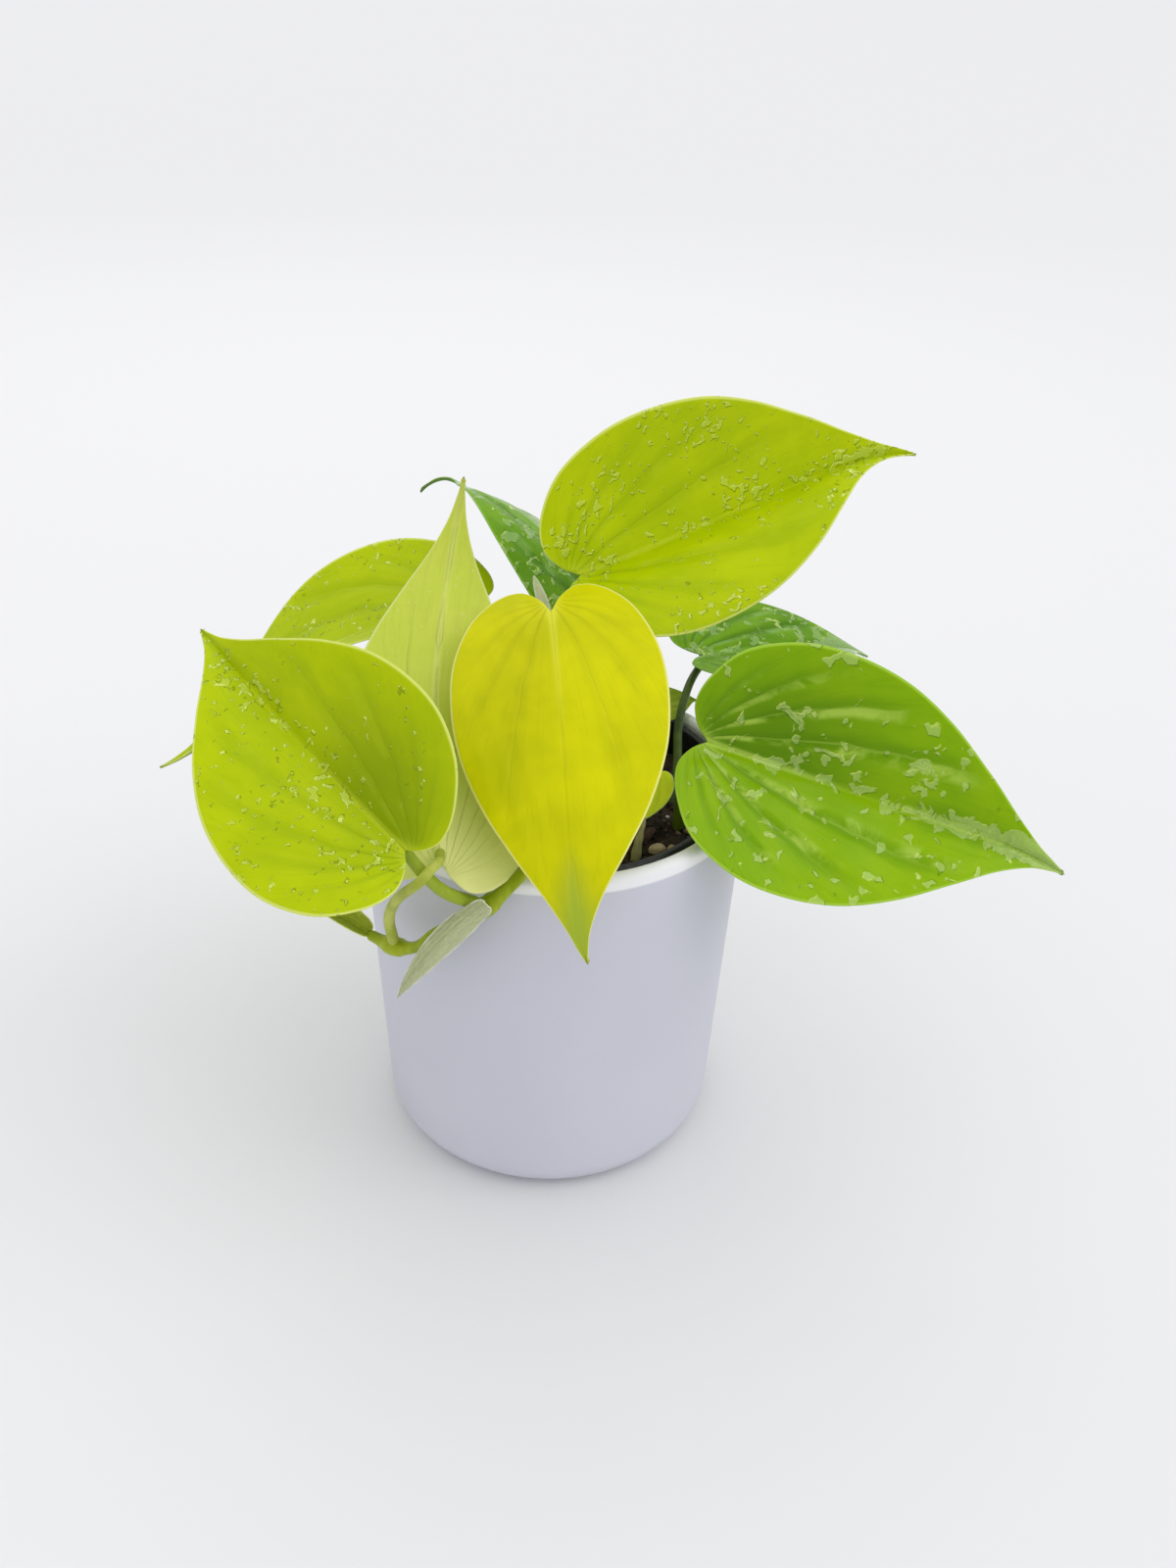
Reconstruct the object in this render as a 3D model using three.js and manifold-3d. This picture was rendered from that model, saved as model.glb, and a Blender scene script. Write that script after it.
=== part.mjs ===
// Potted lemon lime philodendron: a heart-leaved aroid in a thin black nursery pot,
// which stands in a plain white ceramic cover pot.
// Millimetres, +Z up. The origin is the centre of the cover pot's underside.
import * as THREE from 'three';
import { mergeVertices } from 'three/addons/utils/BufferGeometryUtils.js';
import Module from 'manifold-3d';

const wasm = await Module();
wasm.setup();

// Cover pot
const POT_HEIGHT = 118;
const POT_TOP_RADIUS = 55.8;
const POT_FOOT_RADIUS = 52;
const POT_FOOT_ROUND = 9.8;
const POT_WALL = 4.2;
const POT_FLOOR = 6;
const POT_INNER_ROUND = 7;

// Nursery pot
const NURSERY_TOP = 116.4;
const NURSERY_RIM_RADIUS = 50.3;
const NURSERY_RIM_HEIGHT = 4;
const NURSERY_TOP_RADIUS = 49;
const NURSERY_FOOT_RADIUS = 38;
const NURSERY_WALL = 1;
const DRAIN_HOLE_RADIUS = 4;
const DRAIN_HOLES = 6;
const DRAIN_RING_RADIUS = 26;

// Soil
const SOIL_LEVEL = 107;
const SOIL_BUMP = 1.1;
const SOIL_RINGS = 6;
const STALK_FOOT_Z = 90;

// Clearance between neighbours, and the blades' thickness
const GAP = 0.3;
const HOLE_GAP = 0.36;
const BLADE = 0.7;
const ROUND_SEGMENTS = 40;
const STALK_SIDES = 6;
const STALK_STEPS = 10;

// Finishes
const white = new THREE.MeshStandardMaterial({ color: 0xe6e5ee, roughness: 0.55, metalness: 0 });
const black = new THREE.MeshStandardMaterial({ color: 0x121212, roughness: 0.5, metalness: 0 });
const earth = new THREE.MeshStandardMaterial({ color: 0x2c221a, roughness: 1, metalness: 0 });
const stone = new THREE.MeshStandardMaterial({ color: 0xa08c6c, roughness: 0.9, metalness: 0 });
const bark = new THREE.MeshStandardMaterial({ color: 0x6b4a30, roughness: 0.9, metalness: 0 });
const stem = new THREE.MeshStandardMaterial({ color: 0x8fa526, roughness: 0.45, metalness: 0 });
const gold = new THREE.MeshStandardMaterial({ color: 0xcdd208, roughness: 0.45, metalness: 0 });
const lime = new THREE.MeshStandardMaterial({ color: 0xa9cc08, roughness: 0.3, metalness: 0 });
const green = new THREE.MeshStandardMaterial({ color: 0x5f9e12, roughness: 0.2, metalness: 0 });
const dark = new THREE.MeshStandardMaterial({ color: 0x3f7a1e, roughness: 0.2, metalness: 0 });
const pale = new THREE.MeshStandardMaterial({ color: 0xbfcf63, roughness: 0.6, metalness: 0 });
const papery = new THREE.MeshStandardMaterial({ color: 0xb6c48e, roughness: 0.6, metalness: 0 });

const plant = new THREE.Group();
plant.name = 'potted_lemon_lime_philodendron';

// Solids

function toSolid(geometry) {
  const plain = geometry.clone();
  plain.deleteAttribute('normal');
  plain.deleteAttribute('uv');
  const merged = mergeVertices(plain, 1e-4);
  const vertProperties = new Float32Array(merged.attributes.position.array);
  const triVerts = new Uint32Array(merged.index.array);
  const mesh = new wasm.Mesh({ numProp: 3, vertProperties, triVerts });
  return new wasm.Manifold(mesh);
}

function toGeometry(solid) {
  const mesh = solid.getMesh();
  const geometry = new THREE.BufferGeometry();
  geometry.setAttribute('position', new THREE.BufferAttribute(mesh.vertProperties, 3));
  geometry.setIndex(new THREE.BufferAttribute(mesh.triVerts, 1));
  return geometry;
}

function addPiece(name, geometry, material) {
  const mesh = new THREE.Mesh(geometry, material);
  mesh.name = name;
  plant.add(mesh);
  return mesh;
}

// A profile of [radius, height] pairs turned about the vertical axis
function turned(profile, segments = ROUND_SEGMENTS) {
  const points = profile.map(([r, z]) => new THREE.Vector2(r, z));
  const geometry = new THREE.LatheGeometry(points, segments);
  geometry.rotateX(Math.PI / 2);
  return geometry;
}

// Points of a quarter or part circle, angles in degrees from the outward radius
function arc(centreR, centreZ, radius, from, to, steps) {
  const points = [];
  for (let i = 0; i <= steps; i++) {
    const angle = THREE.MathUtils.degToRad(from + ((to - from) * i) / steps);
    points.push([centreR + radius * Math.cos(angle), centreZ + radius * Math.sin(angle)]);
  }
  return points;
}

// A round stalk along a smooth curve, with its radius given along its length
function stalk(points, radiusAt, sides = STALK_SIDES, steps = STALK_STEPS) {
  const path = new THREE.CatmullRomCurve3(points);
  const section = new THREE.Shape();
  for (let i = 0; i < sides; i++) {
    const angle = (2 * Math.PI * i) / sides;
    if (i === 0) section.moveTo(Math.cos(angle), Math.sin(angle));
    else section.lineTo(Math.cos(angle), Math.sin(angle));
  }
  const geometry = new THREE.ExtrudeGeometry(section, { steps, extrudePath: path, bevelEnabled: false });
  const centres = path.getSpacedPoints(steps);
  const position = geometry.attributes.position;
  const vertex = new THREE.Vector3();
  for (let i = 0; i < position.count; i++) {
    vertex.fromBufferAttribute(position, i);
    // The drawn section has a radius of 1, so its own centre is the one 1 away
    const misfit = (centre) => Math.abs(centre.distanceTo(vertex) - 1);
    let nearest = 0;
    centres.forEach((centre, k) => {
      if (misfit(centre) < misfit(centres[nearest])) nearest = k;
    });
    const centre = centres[nearest];
    vertex.sub(centre).multiplyScalar(radiusAt(nearest / steps)).add(centre);
    position.setXYZ(i, vertex.x, vertex.y, vertex.z);
  }
  return geometry;
}

// Leaf blades

// Half outline of a heart-shaped blade with a drawn-out tip:
// [share of the length past the stalk, share of the half width]
const HEART = [
  [0, 0], [-0.055, 0.1], [-0.1, 0.28], [-0.088, 0.52], [-0.015, 0.78], [0.12, 0.96], [0.27, 1],
  [0.43, 0.93], [0.58, 0.74], [0.71, 0.48], [0.81, 0.25], [0.89, 0.105], [0.95, 0.04], [1, 0],
];
// The same for a narrow sheath
const LANCE = [[0, 0], [0.02, 0.55], [0.15, 0.85], [0.35, 1], [0.6, 0.85], [0.82, 0.45], [0.94, 0.15], [1, 0]];

// Rows crowd towards the stalk on the midrib, as the side veins do
const ROW_CROWDING = 1.5;
const MIDLINE_STEPS = 78;
const MIDLINE_FROM = -0.3;
const TIP_BEND_FROM = 0.62;

const radians = (degrees) => THREE.MathUtils.degToRad(degrees);

const bladeDefaults = {
  roll: 0, droop: 15, tipDroop: 10, sweep: 0, tipSweep: 0, foldLeft: 16, foldRight: 16,
  curlLeft: -14, curlRight: -14, lobe: 1, lobeRight: null, ribs: 0, ribRise: 0,
  outline: HEART, rows: 16, columns: 3, thickness: BLADE,
};

// heading and pitch aim the midrib, roll turns the blade about it, droop and sweep bend it down and
// sideways, fold lifts each half from the midrib and curl rolls it on towards its edge
function makeBlade(sizes) {
  const b = { ...bladeDefaults, ...sizes };
  const heading = radians(b.heading);
  const pitch = radians(b.pitch);
  const along = new THREE.Vector3(
    Math.cos(pitch) * Math.cos(heading), Math.cos(pitch) * Math.sin(heading), Math.sin(pitch));
  const flatRight = new THREE.Vector3(Math.sin(heading), -Math.cos(heading), 0);
  const flatUp = new THREE.Vector3().crossVectors(flatRight, along);
  const roll = radians(b.roll);
  const right = flatRight.clone().multiplyScalar(Math.cos(roll)).addScaledVector(flatUp, -Math.sin(roll));
  const up = flatUp.clone().multiplyScalar(Math.cos(roll)).addScaledVector(flatRight, Math.sin(roll));
  const base = new THREE.Vector3(...b.place);

  function axes(u) {
    const late = THREE.MathUtils.clamp((u - TIP_BEND_FROM) / (1 - TIP_BEND_FROM), 0, 1) ** 2;
    const down = radians(b.droop * u + b.tipDroop * late);
    const side = radians(b.sweep * u + b.tipSweep * late);
    return {
      along: new THREE.Vector3(
        Math.cos(down) * Math.cos(side), Math.cos(down) * Math.sin(side), -Math.sin(down)),
      across: new THREE.Vector3(-Math.sin(side), Math.cos(side), 0),
      normal: new THREE.Vector3(
        Math.sin(down) * Math.cos(side), Math.sin(down) * Math.sin(side), Math.cos(down)),
    };
  }

  const midline = [new THREE.Vector3()];
  const stepLength = (1 - MIDLINE_FROM) / MIDLINE_STEPS;
  for (let i = 0; i < MIDLINE_STEPS; i++) {
    const u = MIDLINE_FROM + (i + 0.5) * stepLength;
    midline.push(midline[i].clone().addScaledVector(axes(u).along, stepLength * b.length));
  }
  function rawMidline(u) {
    const place = THREE.MathUtils.clamp((u - MIDLINE_FROM) / stepLength, 0, MIDLINE_STEPS);
    const i = Math.min(Math.floor(place), MIDLINE_STEPS - 1);
    return midline[i].clone().lerp(midline[i + 1], place - i);
  }
  const zero = rawMidline(0);

  // The point at share u of the length and b mm across, positive to the right, lowered by depth
  function pointAt(u, acrossMm, depth = 0) {
    const frame = axes(u);
    const toRight = acrossMm >= 0;
    const half = toRight ? b.halfRight : b.halfLeft;
    const fold = radians(toRight ? b.foldRight : b.foldLeft);
    const bend = radians(toRight ? b.curlRight : b.curlLeft) / half;
    const reach = Math.abs(acrossMm);
    let outward = reach * Math.cos(fold);
    let lift = reach * Math.sin(fold);
    if (Math.abs(bend) > 1e-6) {
      outward = (Math.sin(fold + bend * reach) - Math.sin(fold)) / bend;
      lift = (Math.cos(fold) - Math.cos(fold + bend * reach)) / bend;
    }
    lift -= depth;
    const local = rawMidline(u).sub(zero)
      .addScaledVector(frame.across, Math.sign(acrossMm) * outward)
      .addScaledVector(frame.normal, lift);
    return base.clone()
      .addScaledVector(along, local.x)
      .addScaledVector(right, local.y)
      .addScaledVector(up, local.z);
  }

  // Rows run from the midrib to the edge as the side veins do
  function edgeCurve(lobe) {
    const corners = b.outline.map(([u, v]) => new THREE.Vector3(u < 0 ? u * lobe : u, v, 0));
    return new THREE.CatmullRomCurve3(corners, false, 'catmullrom', 0.5);
  }
  const leftEdge = edgeCurve(b.lobe);
  const rightEdge = edgeCurve(b.lobeRight ?? b.lobe);
  const top = [];
  const index = new Map();
  function vertex(row, column) {
    const t = row / b.rows;
    const ends = row === 0 || row === b.rows;
    const key = ends ? `${row}` : `${row},${column}`;
    if (index.has(key)) return index.get(key);
    const share = Math.abs(column) / b.columns;
    const side = Math.sign(column);
    const rim = (side > 0 ? rightEdge : leftEdge).getPoint(t);
    const u = t ** ROW_CROWDING * (1 - share) + rim.x * share;
    const half = side > 0 ? b.halfRight : b.halfLeft;
    const fade = 4 * share * (1 - share);
    const rib = b.ribRise * Math.sin(2 * Math.PI * b.ribs * t) * fade;
    index.set(key, top.length);
    top.push(pointAt(u, ends ? 0 : side * Math.max(rim.y, 0) * share * half, -rib));
    return top.length - 1;
  }
  const faces = [];
  for (let row = 0; row < b.rows; row++) {
    for (let column = -b.columns; column < b.columns; column++) {
      const a = vertex(row, column);
      const c = vertex(row, column + 1);
      const d = vertex(row + 1, column + 1);
      const e = vertex(row + 1, column);
      if (a !== c) faces.push([a, c, d]);
      if (d !== e) faces.push([a, d, e]);
    }
  }
  const normals = top.map(() => new THREE.Vector3());
  faces.forEach(([i, j, k]) => {
    const across = top[j].clone().sub(top[i]).cross(top[k].clone().sub(top[i]));
    [i, j, k].forEach((n) => normals[n].add(across));
  });
  const bottom = top.map((point, i) => point.clone().addScaledVector(normals[i].normalize(), -b.thickness));

  // The walls follow the blade's outline round
  const outer = [];
  for (let row = 0; row <= b.rows; row++) outer.push(vertex(row, b.columns));
  for (let row = b.rows - 1; row > 0; row--) outer.push(vertex(row, -b.columns));
  const points = [...top, ...bottom];
  const triangles = [];
  const lower = (i) => i + top.length;
  faces.forEach(([i, j, k]) => {
    triangles.push(i, j, k);
    triangles.push(lower(i), lower(k), lower(j));
  });
  outer.forEach((i, n) => {
    const j = outer[(n + 1) % outer.length];
    triangles.push(lower(i), lower(j), j);
    triangles.push(lower(i), j, i);
  });
  const geometry = new THREE.BufferGeometry();
  geometry.setFromPoints(points);
  geometry.setIndex(triangles);
  return { geometry, pointAt, base, sizes: b };
}

// The midrib's places along the blade, and its radius against the stalk's neck at both ends
const RIB_PLACES = [0.004, 0.2, 0.42, 0.64, 0.78];
const RIB_START = 0.6;
const RIB_END = 0.3;
const RIB_SIDES = 5;
const RIB_STEPS = 6;
// How far the midrib and the stalk's neck lie under the blade's top, in their own radii
const RIB_SINK = 0.6;
const NECK_SINK = 0.35;
const NECK_PLACE = 0.012;

// A leaf is one grown piece: its stalk, its blade and the raised midrib under the blade
function makeLeaf(blade, stalkPoints, footRadius, neckRadius) {
  const neck = blade.pointAt(NECK_PLACE, 0, BLADE + neckRadius * NECK_SINK);
  const points = [...stalkPoints.map((p) => new THREE.Vector3(...p)), neck];
  const radiusAt = (s) => footRadius + (neckRadius - footRadius) * s;
  let solid = toSolid(stalk(points, radiusAt)).add(toSolid(blade.geometry));
  const ribRadius = (s) => neckRadius * (RIB_START + (RIB_END - RIB_START) * s);
  const ribPoints = RIB_PLACES.map((u) => (
    blade.pointAt(u, 0, BLADE * 0.85 + RIB_SINK * ribRadius(u / RIB_PLACES.at(-1)))));
  solid = solid.add(toSolid(stalk(ribPoints, ribRadius, RIB_SIDES, RIB_STEPS)));
  return { geometry: toGeometry(solid), points, radiusAt };
}

// Pots

function coverPot() {
  const floorRadius = POT_FOOT_RADIUS - POT_FOOT_ROUND;
  const lip = POT_WALL / 2;
  const innerTop = POT_TOP_RADIUS - POT_WALL;
  const innerFoot = POT_FOOT_RADIUS - POT_WALL;
  return turned([
    [0, 0],
    ...arc(floorRadius, POT_FOOT_ROUND, POT_FOOT_ROUND, -90, 0, 6),
    ...arc(POT_TOP_RADIUS - lip, POT_HEIGHT - lip, lip, 0, 180, 6),
    ...arc(innerFoot - POT_INNER_ROUND, POT_FLOOR + POT_INNER_ROUND, POT_INNER_ROUND, 0, -90, 4),
    [0, POT_FLOOR],
  ]);
}

function nurseryPot() {
  const foot = POT_FLOOR + GAP;
  const rimFoot = NURSERY_TOP - NURSERY_RIM_HEIGHT;
  const shell = turned([
    [0, foot],
    [NURSERY_FOOT_RADIUS, foot],
    [NURSERY_TOP_RADIUS, rimFoot],
    [NURSERY_RIM_RADIUS, rimFoot],
    [NURSERY_RIM_RADIUS, NURSERY_TOP],
    [NURSERY_TOP_RADIUS - NURSERY_WALL, NURSERY_TOP],
    [NURSERY_FOOT_RADIUS - NURSERY_WALL, foot + NURSERY_WALL],
    [0, foot + NURSERY_WALL],
  ]);
  let solid = toSolid(shell);
  for (let i = 0; i < DRAIN_HOLES; i++) {
    const angle = (2 * Math.PI * i) / DRAIN_HOLES;
    const hole = new THREE.CylinderGeometry(DRAIN_HOLE_RADIUS, DRAIN_HOLE_RADIUS, NURSERY_WALL * 3, 10);
    hole.rotateX(Math.PI / 2);
    hole.translate(DRAIN_RING_RADIUS * Math.cos(angle), DRAIN_RING_RADIUS * Math.sin(angle), foot);
    solid = solid.subtract(toSolid(hole));
  }
  return toGeometry(solid);
}

// Height of the soil's lumpy top at a place
function soilTop(x, y) {
  const lumps = Math.sin(x * 0.31 + 1.2) * Math.cos(y * 0.27) + 0.5 * Math.sin(x * 0.63 - y * 0.55);
  return SOIL_LEVEL + SOIL_BUMP * lumps;
}

function soilBody() {
  const floor = POT_FLOOR + GAP + NURSERY_WALL + GAP;
  const slope = (NURSERY_TOP_RADIUS - NURSERY_FOOT_RADIUS) / (NURSERY_TOP - floor);
  const inner = (z) => NURSERY_FOOT_RADIUS - NURSERY_WALL - GAP * 1.5 + slope * (z - floor);
  const brim = inner(SOIL_LEVEL);
  const profile = [[0, floor], [inner(floor), floor], [brim, SOIL_LEVEL]];
  for (let i = SOIL_RINGS - 1; i >= 0; i--) profile.push([(brim * i) / SOIL_RINGS, SOIL_LEVEL]);
  const geometry = turned(profile);
  const position = geometry.attributes.position;
  for (let i = 0; i < position.count; i++) {
    if (position.getZ(i) < SOIL_LEVEL - 1) continue;
    position.setZ(i, soilTop(position.getX(i), position.getY(i)));
  }
  return toSolid(geometry);
}

// A rounded stone or chip: half sizes, place and turn about the vertical
function chip(halfSizes, place, turn) {
  const geometry = new THREE.IcosahedronGeometry(1, 1);
  geometry.scale(...halfSizes);
  geometry.rotateZ(radians(turn));
  geometry.translate(...place);
  return geometry;
}

addPiece('cover_pot', coverPot(), white);
addPiece('nursery_pot', nurseryPot(), black);

// Leaves whose stalks rise from the soil: [name, finish, blade, stalk points from the foot, radii]
const rooted = [
  ['leaf_front', gold, {
    place: [-1.2, -7.5, 170.5], heading: -83, pitch: -16, roll: 19,
    length: 100, halfLeft: 28, halfRight: 28,
    droop: 37, tipDroop: 49, sweep: 13, tipSweep: 4,
    foldLeft: -9, foldRight: 9, curlLeft: -22, curlRight: -11,
    ribs: 5, ribRise: 0.25,
  }, [[14, -12, STALK_FOOT_Z], [14, -11, 112], [11, -6, 138], [4, -2, 158]], 1.9, 1.4],
  ['leaf_top_right', lime, {
    place: [6.2, 17.1, 170.8], heading: 36, pitch: 7, roll: 34,
    length: 115, halfLeft: 39, halfRight: 32, lobe: 0.9,
    droop: -21, tipDroop: 14, sweep: 4, tipSweep: 27,
    foldLeft: 40, foldRight: 34, curlLeft: 25, curlRight: -54,
    ribs: 5, ribRise: 0.3,
  }, [[24, -6, STALK_FOOT_Z], [22.5, -2, 108], [17, 7, 128], [11, 15, 156]], 2, 1.5],
  ['leaf_right', green, {
    place: [41.8, -16.6, 138], heading: 7, pitch: -22, roll: 51,
    length: 107, halfLeft: 36, halfRight: 37, lobe: 0.8,
    droop: -32, tipDroop: 36, sweep: 9, tipSweep: 3,
    foldLeft: 37, foldRight: 19, curlLeft: -4, curlRight: -7,
    ribs: 6, ribRise: 0.5, rows: 20,
  }, [[36, -12, STALK_FOOT_Z], [36, -11.5, 110], [37.5, -10, 126]], 1.9, 1.4],
  ['leaf_back_left', lime, {
    place: [-29, 40.5, 149.3], heading: 192, pitch: -2, roll: 9,
    length: 113, halfLeft: 32, halfRight: 38, lobe: 0.9,
    droop: 62, tipDroop: -48, sweep: 26, tipSweep: -32,
    foldLeft: 16, foldRight: 17, curlLeft: -14, curlRight: 22,
    ribs: 5, ribRise: 0.25,
  }, [[-8, 22, STALK_FOOT_Z], [-9, 24, 113], [-16, 33, 134]], 1.9, 1.4],
  ['leaf_back_centre', dark, {
    place: [17, 49.8, 137], heading: 133, pitch: 59, roll: 31,
    length: 95, halfLeft: 30, halfRight: 29,
    droop: 78, tipDroop: -7, sweep: 33, tipSweep: -8,
    foldLeft: -1, foldRight: 3, curlLeft: -33, curlRight: -8,
    ribs: 5, ribRise: 0.3,
  }, [[12, 27, STALK_FOOT_Z], [12, 28, 113], [15, 38, 128]], 1.7, 1.3],
  ['leaf_back_right', dark, {
    place: [44.5, 49.7, 132], heading: 23, pitch: 0, roll: 4,
    length: 67, halfLeft: 27, halfRight: 27,
    droop: 17, tipDroop: 16, sweep: -3, tipSweep: -1,
    foldLeft: 17, foldRight: 16, curlLeft: -13, curlRight: -14,
    ribs: 5, ribRise: 0.3,
  }, [
    [33.5, -2, STALK_FOOT_Z], [34.4, 0, 104], [36.4, 13, 113.2], [36.8, 24, 120.4], [40, 36, 127.8],
  ], 1.5, 1.2],
  ['leaf_small_back', stem, {
    place: [26, 36.2, 119.9], heading: 16, pitch: 7, roll: 8,
    length: 19.3, halfLeft: 8.7, halfRight: 9.4,
    droop: 10, tipDroop: 28, sweep: -3, tipSweep: 4,
    foldLeft: 13, foldRight: 10, curlLeft: -17, curlRight: -19, rows: 12, columns: 2,
  }, [[21, 22, STALK_FOOT_Z], [21, 23, 108], [23, 30, 116]], 1, 0.8],
  ['leaf_small_front', lime, {
    place: [28.6, -7.4, 121.1], heading: 252, pitch: -19, roll: -1,
    length: 21.8, halfLeft: 6.8, halfRight: 9,
    droop: -7, tipDroop: -38, sweep: 4, tipSweep: 14,
    foldLeft: 14, foldRight: 16, curlLeft: -11, curlRight: -14, rows: 12, columns: 2,
  }, [[29, 6, STALK_FOOT_Z], [29, 5.5, 108], [29.5, 0, 116]], 1, 0.8],
];

const stalkHoles = [];
rooted.forEach(([name, finish, sizes, points, foot, neck]) => {
  const blade = makeBlade(sizes);
  const leaf = makeLeaf(blade, points, foot, neck);
  addPiece(name, leaf.geometry, finish);
  stalkHoles.push([leaf.points, leaf.radiusAt]);
});

// The vine climbs over the pot's front rim and hangs to its left: two nodes and a growing tip
const VINE_RADIUS = 1.8;
const VINE = [
  [-2, -26, STALK_FOOT_Z], [-1, -32, 110], [-2, -45, 120.4], [-5, -55.6, 121.6], [-9.5, -60, 118.6],
  [-14.3, -61, 114.1], [-21, -60, 108], [-27.7, -58, 102.6], [-33.5, -55, 95.5], [-39.8, -51, 92.3],
  [-46.5, -46, 91.5],
];
const FIRST_NODE = new THREE.Vector3(-14.3, -61, 114.1);
const SECOND_NODE = new THREE.Vector3(-39.8, -51, 92.3);
const NODE_SWELL = 1.1;
const NODE_REACH = 4;
const VINE_TAPER = 0.3;

const VINE_STEPS = 34;
const VINE_SIDES = 8;

const vinePoints = VINE.map((p) => new THREE.Vector3(...p));
const vineSpaced = new THREE.CatmullRomCurve3(vinePoints).getSpacedPoints(VINE_STEPS);
function vineRadius(s) {
  const here = vineSpaced[Math.round(s * VINE_STEPS)];
  const swell = [FIRST_NODE, SECOND_NODE].reduce(
    (sum, node) => sum + NODE_SWELL * Math.exp(-((here.distanceTo(node) / NODE_REACH) ** 2)), 0);
  return VINE_RADIUS + swell - VINE_TAPER * s;
}
addPiece('vine', stalk(vinePoints, vineRadius, VINE_SIDES, VINE_STEPS), stem);
stalkHoles.push([vinePoints, vineRadius, VINE_SIDES, VINE_STEPS]);

// Leaves on the vine: the stalk starts just clear of its node
const climbing = [
  ['leaf_left', lime, {
    place: [-32.7, -68.5, 135.6], heading: 132, pitch: 9, roll: -31,
    length: 95, halfLeft: 34, halfRight: 33,
    droop: -17, tipDroop: 22, sweep: 3, tipSweep: 1,
    foldLeft: 24, foldRight: 37, curlLeft: -21, curlRight: -15,
    ribs: 5, ribRise: 0.3,
  }, FIRST_NODE, [[-19, -62.2, 116.6], [-24, -65, 121], [-28.8, -67, 127.8]], 1.75, 1.4],
  ['leaf_pale', pale, {
    place: [-25.4, -59.4, 125.3], heading: -78, pitch: 147, roll: -4,
    length: 115, halfLeft: 25, halfRight: 25, lobe: 0.7, lobeRight: 0.2,
    droop: -4, tipDroop: 60, sweep: -18, tipSweep: -3,
    foldLeft: 14, foldRight: 12, curlLeft: -8, curlRight: -13,
    ribs: 5, ribRise: 0.25,
  }, SECOND_NODE, [
    [-39.6, -57, 106], [-35.5, -65.5, 119], [-29, -71.3, 128.4], [-25.9, -68.4, 131], [-25.3, -62.8, 128.8],
  ], 1.5, 1.2],
];
const NODE_CLEAR = VINE_RADIUS + NODE_SWELL + GAP;
const STALK_CLEAR = 0.4;
climbing.forEach(([name, finish, sizes, node, points, foot, neck]) => {
  const blade = makeBlade(sizes);
  const away = new THREE.Vector3(...points[0]).sub(node).normalize();
  const start = node.clone().addScaledVector(away, NODE_CLEAR + STALK_CLEAR);
  addPiece(name, makeLeaf(blade, [start.toArray(), ...points], foot, neck).geometry, finish);
});

// Sheaths: the papery one at the first node, the folded shoot at the second, and the bud behind the
// front leaf
const sheaths = [
  ['node_sheath', papery, {
    place: [-13.8, -67.8, 119.7], heading: 167, pitch: -46, roll: -84,
    length: 47, halfLeft: 4.5, halfRight: 3.4, outline: LANCE,
    droop: 8, tipDroop: 4, sweep: -19, foldLeft: -18, foldRight: -18, curlLeft: -20, curlRight: -20,
    rows: 12, columns: 2,
  }],
  ['new_shoot', papery, {
    place: [-47.2, -45.5, 91.6], heading: 155, pitch: 14, roll: -20,
    length: 27, halfLeft: 5, halfRight: 5, outline: LANCE,
    droop: -16, tipDroop: 5, foldLeft: 40, foldRight: 40, curlLeft: 20, curlRight: 20,
    rows: 12, columns: 2,
  }],
];
sheaths.forEach(([name, finish, sizes]) => addPiece(name, makeBlade(sizes).geometry, finish));

// The young shoot whose sheath shows behind the front leaf
const SHOOT = [[-2, 24, STALK_FOOT_Z], [-2, 25, 115], [-3, 24, 145], [-4, 21, 158], [-7, 19, 169]];
const SHOOT_FOOT_RADIUS = 1.65;
const SHOOT_TOP_RADIUS = 2.5;
const SHOOT_TIP_SHARE = 0.14;
const SHOOT_STEPS = 14;
const shootPoints = SHOOT.map((p) => new THREE.Vector3(...p));
function shootRadius(s) {
  const taper = Math.max(Math.sqrt(1 - s ** 6), SHOOT_TIP_SHARE);
  return taper * (SHOOT_FOOT_RADIUS + (SHOOT_TOP_RADIUS - SHOOT_FOOT_RADIUS) * s);
}
addPiece('young_shoot', stalk(shootPoints, shootRadius, STALK_SIDES, SHOOT_STEPS), papery);
stalkHoles.push([shootPoints, shootRadius, STALK_SIDES, SHOOT_STEPS]);

// A dead, cut stem
const OLD_STEM = [[30, 19, STALK_FOOT_Z], [30.4, 19.4, 108], [31, 20, 122]];
const OLD_STEM_FOOT_RADIUS = 1.6;
const OLD_STEM_TOP_RADIUS = 1.3;
const oldStemPoints = OLD_STEM.map((p) => new THREE.Vector3(...p));
const oldStemRadius = (s) => OLD_STEM_FOOT_RADIUS + (OLD_STEM_TOP_RADIUS - OLD_STEM_FOOT_RADIUS) * s;
addPiece('old_stem', stalk(oldStemPoints, oldStemRadius), bark);
stalkHoles.push([oldStemPoints, oldStemRadius]);

// Grit and a bark chip bedded in the soil: [name, finish, half sizes, place, turn]
const bedded = [
  ['pebble_1', stone, [2.4, 1.9, 1.4], [29.5, -25, 108.3], 20],
  ['pebble_2', stone, [1.7, 2.1, 1.3], [33.8, -25.2, 108.2], -30],
  ['bark_chip', bark, [4.2, 1.7, 1.1], [27, -17.5, 108], 60],
];

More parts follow.
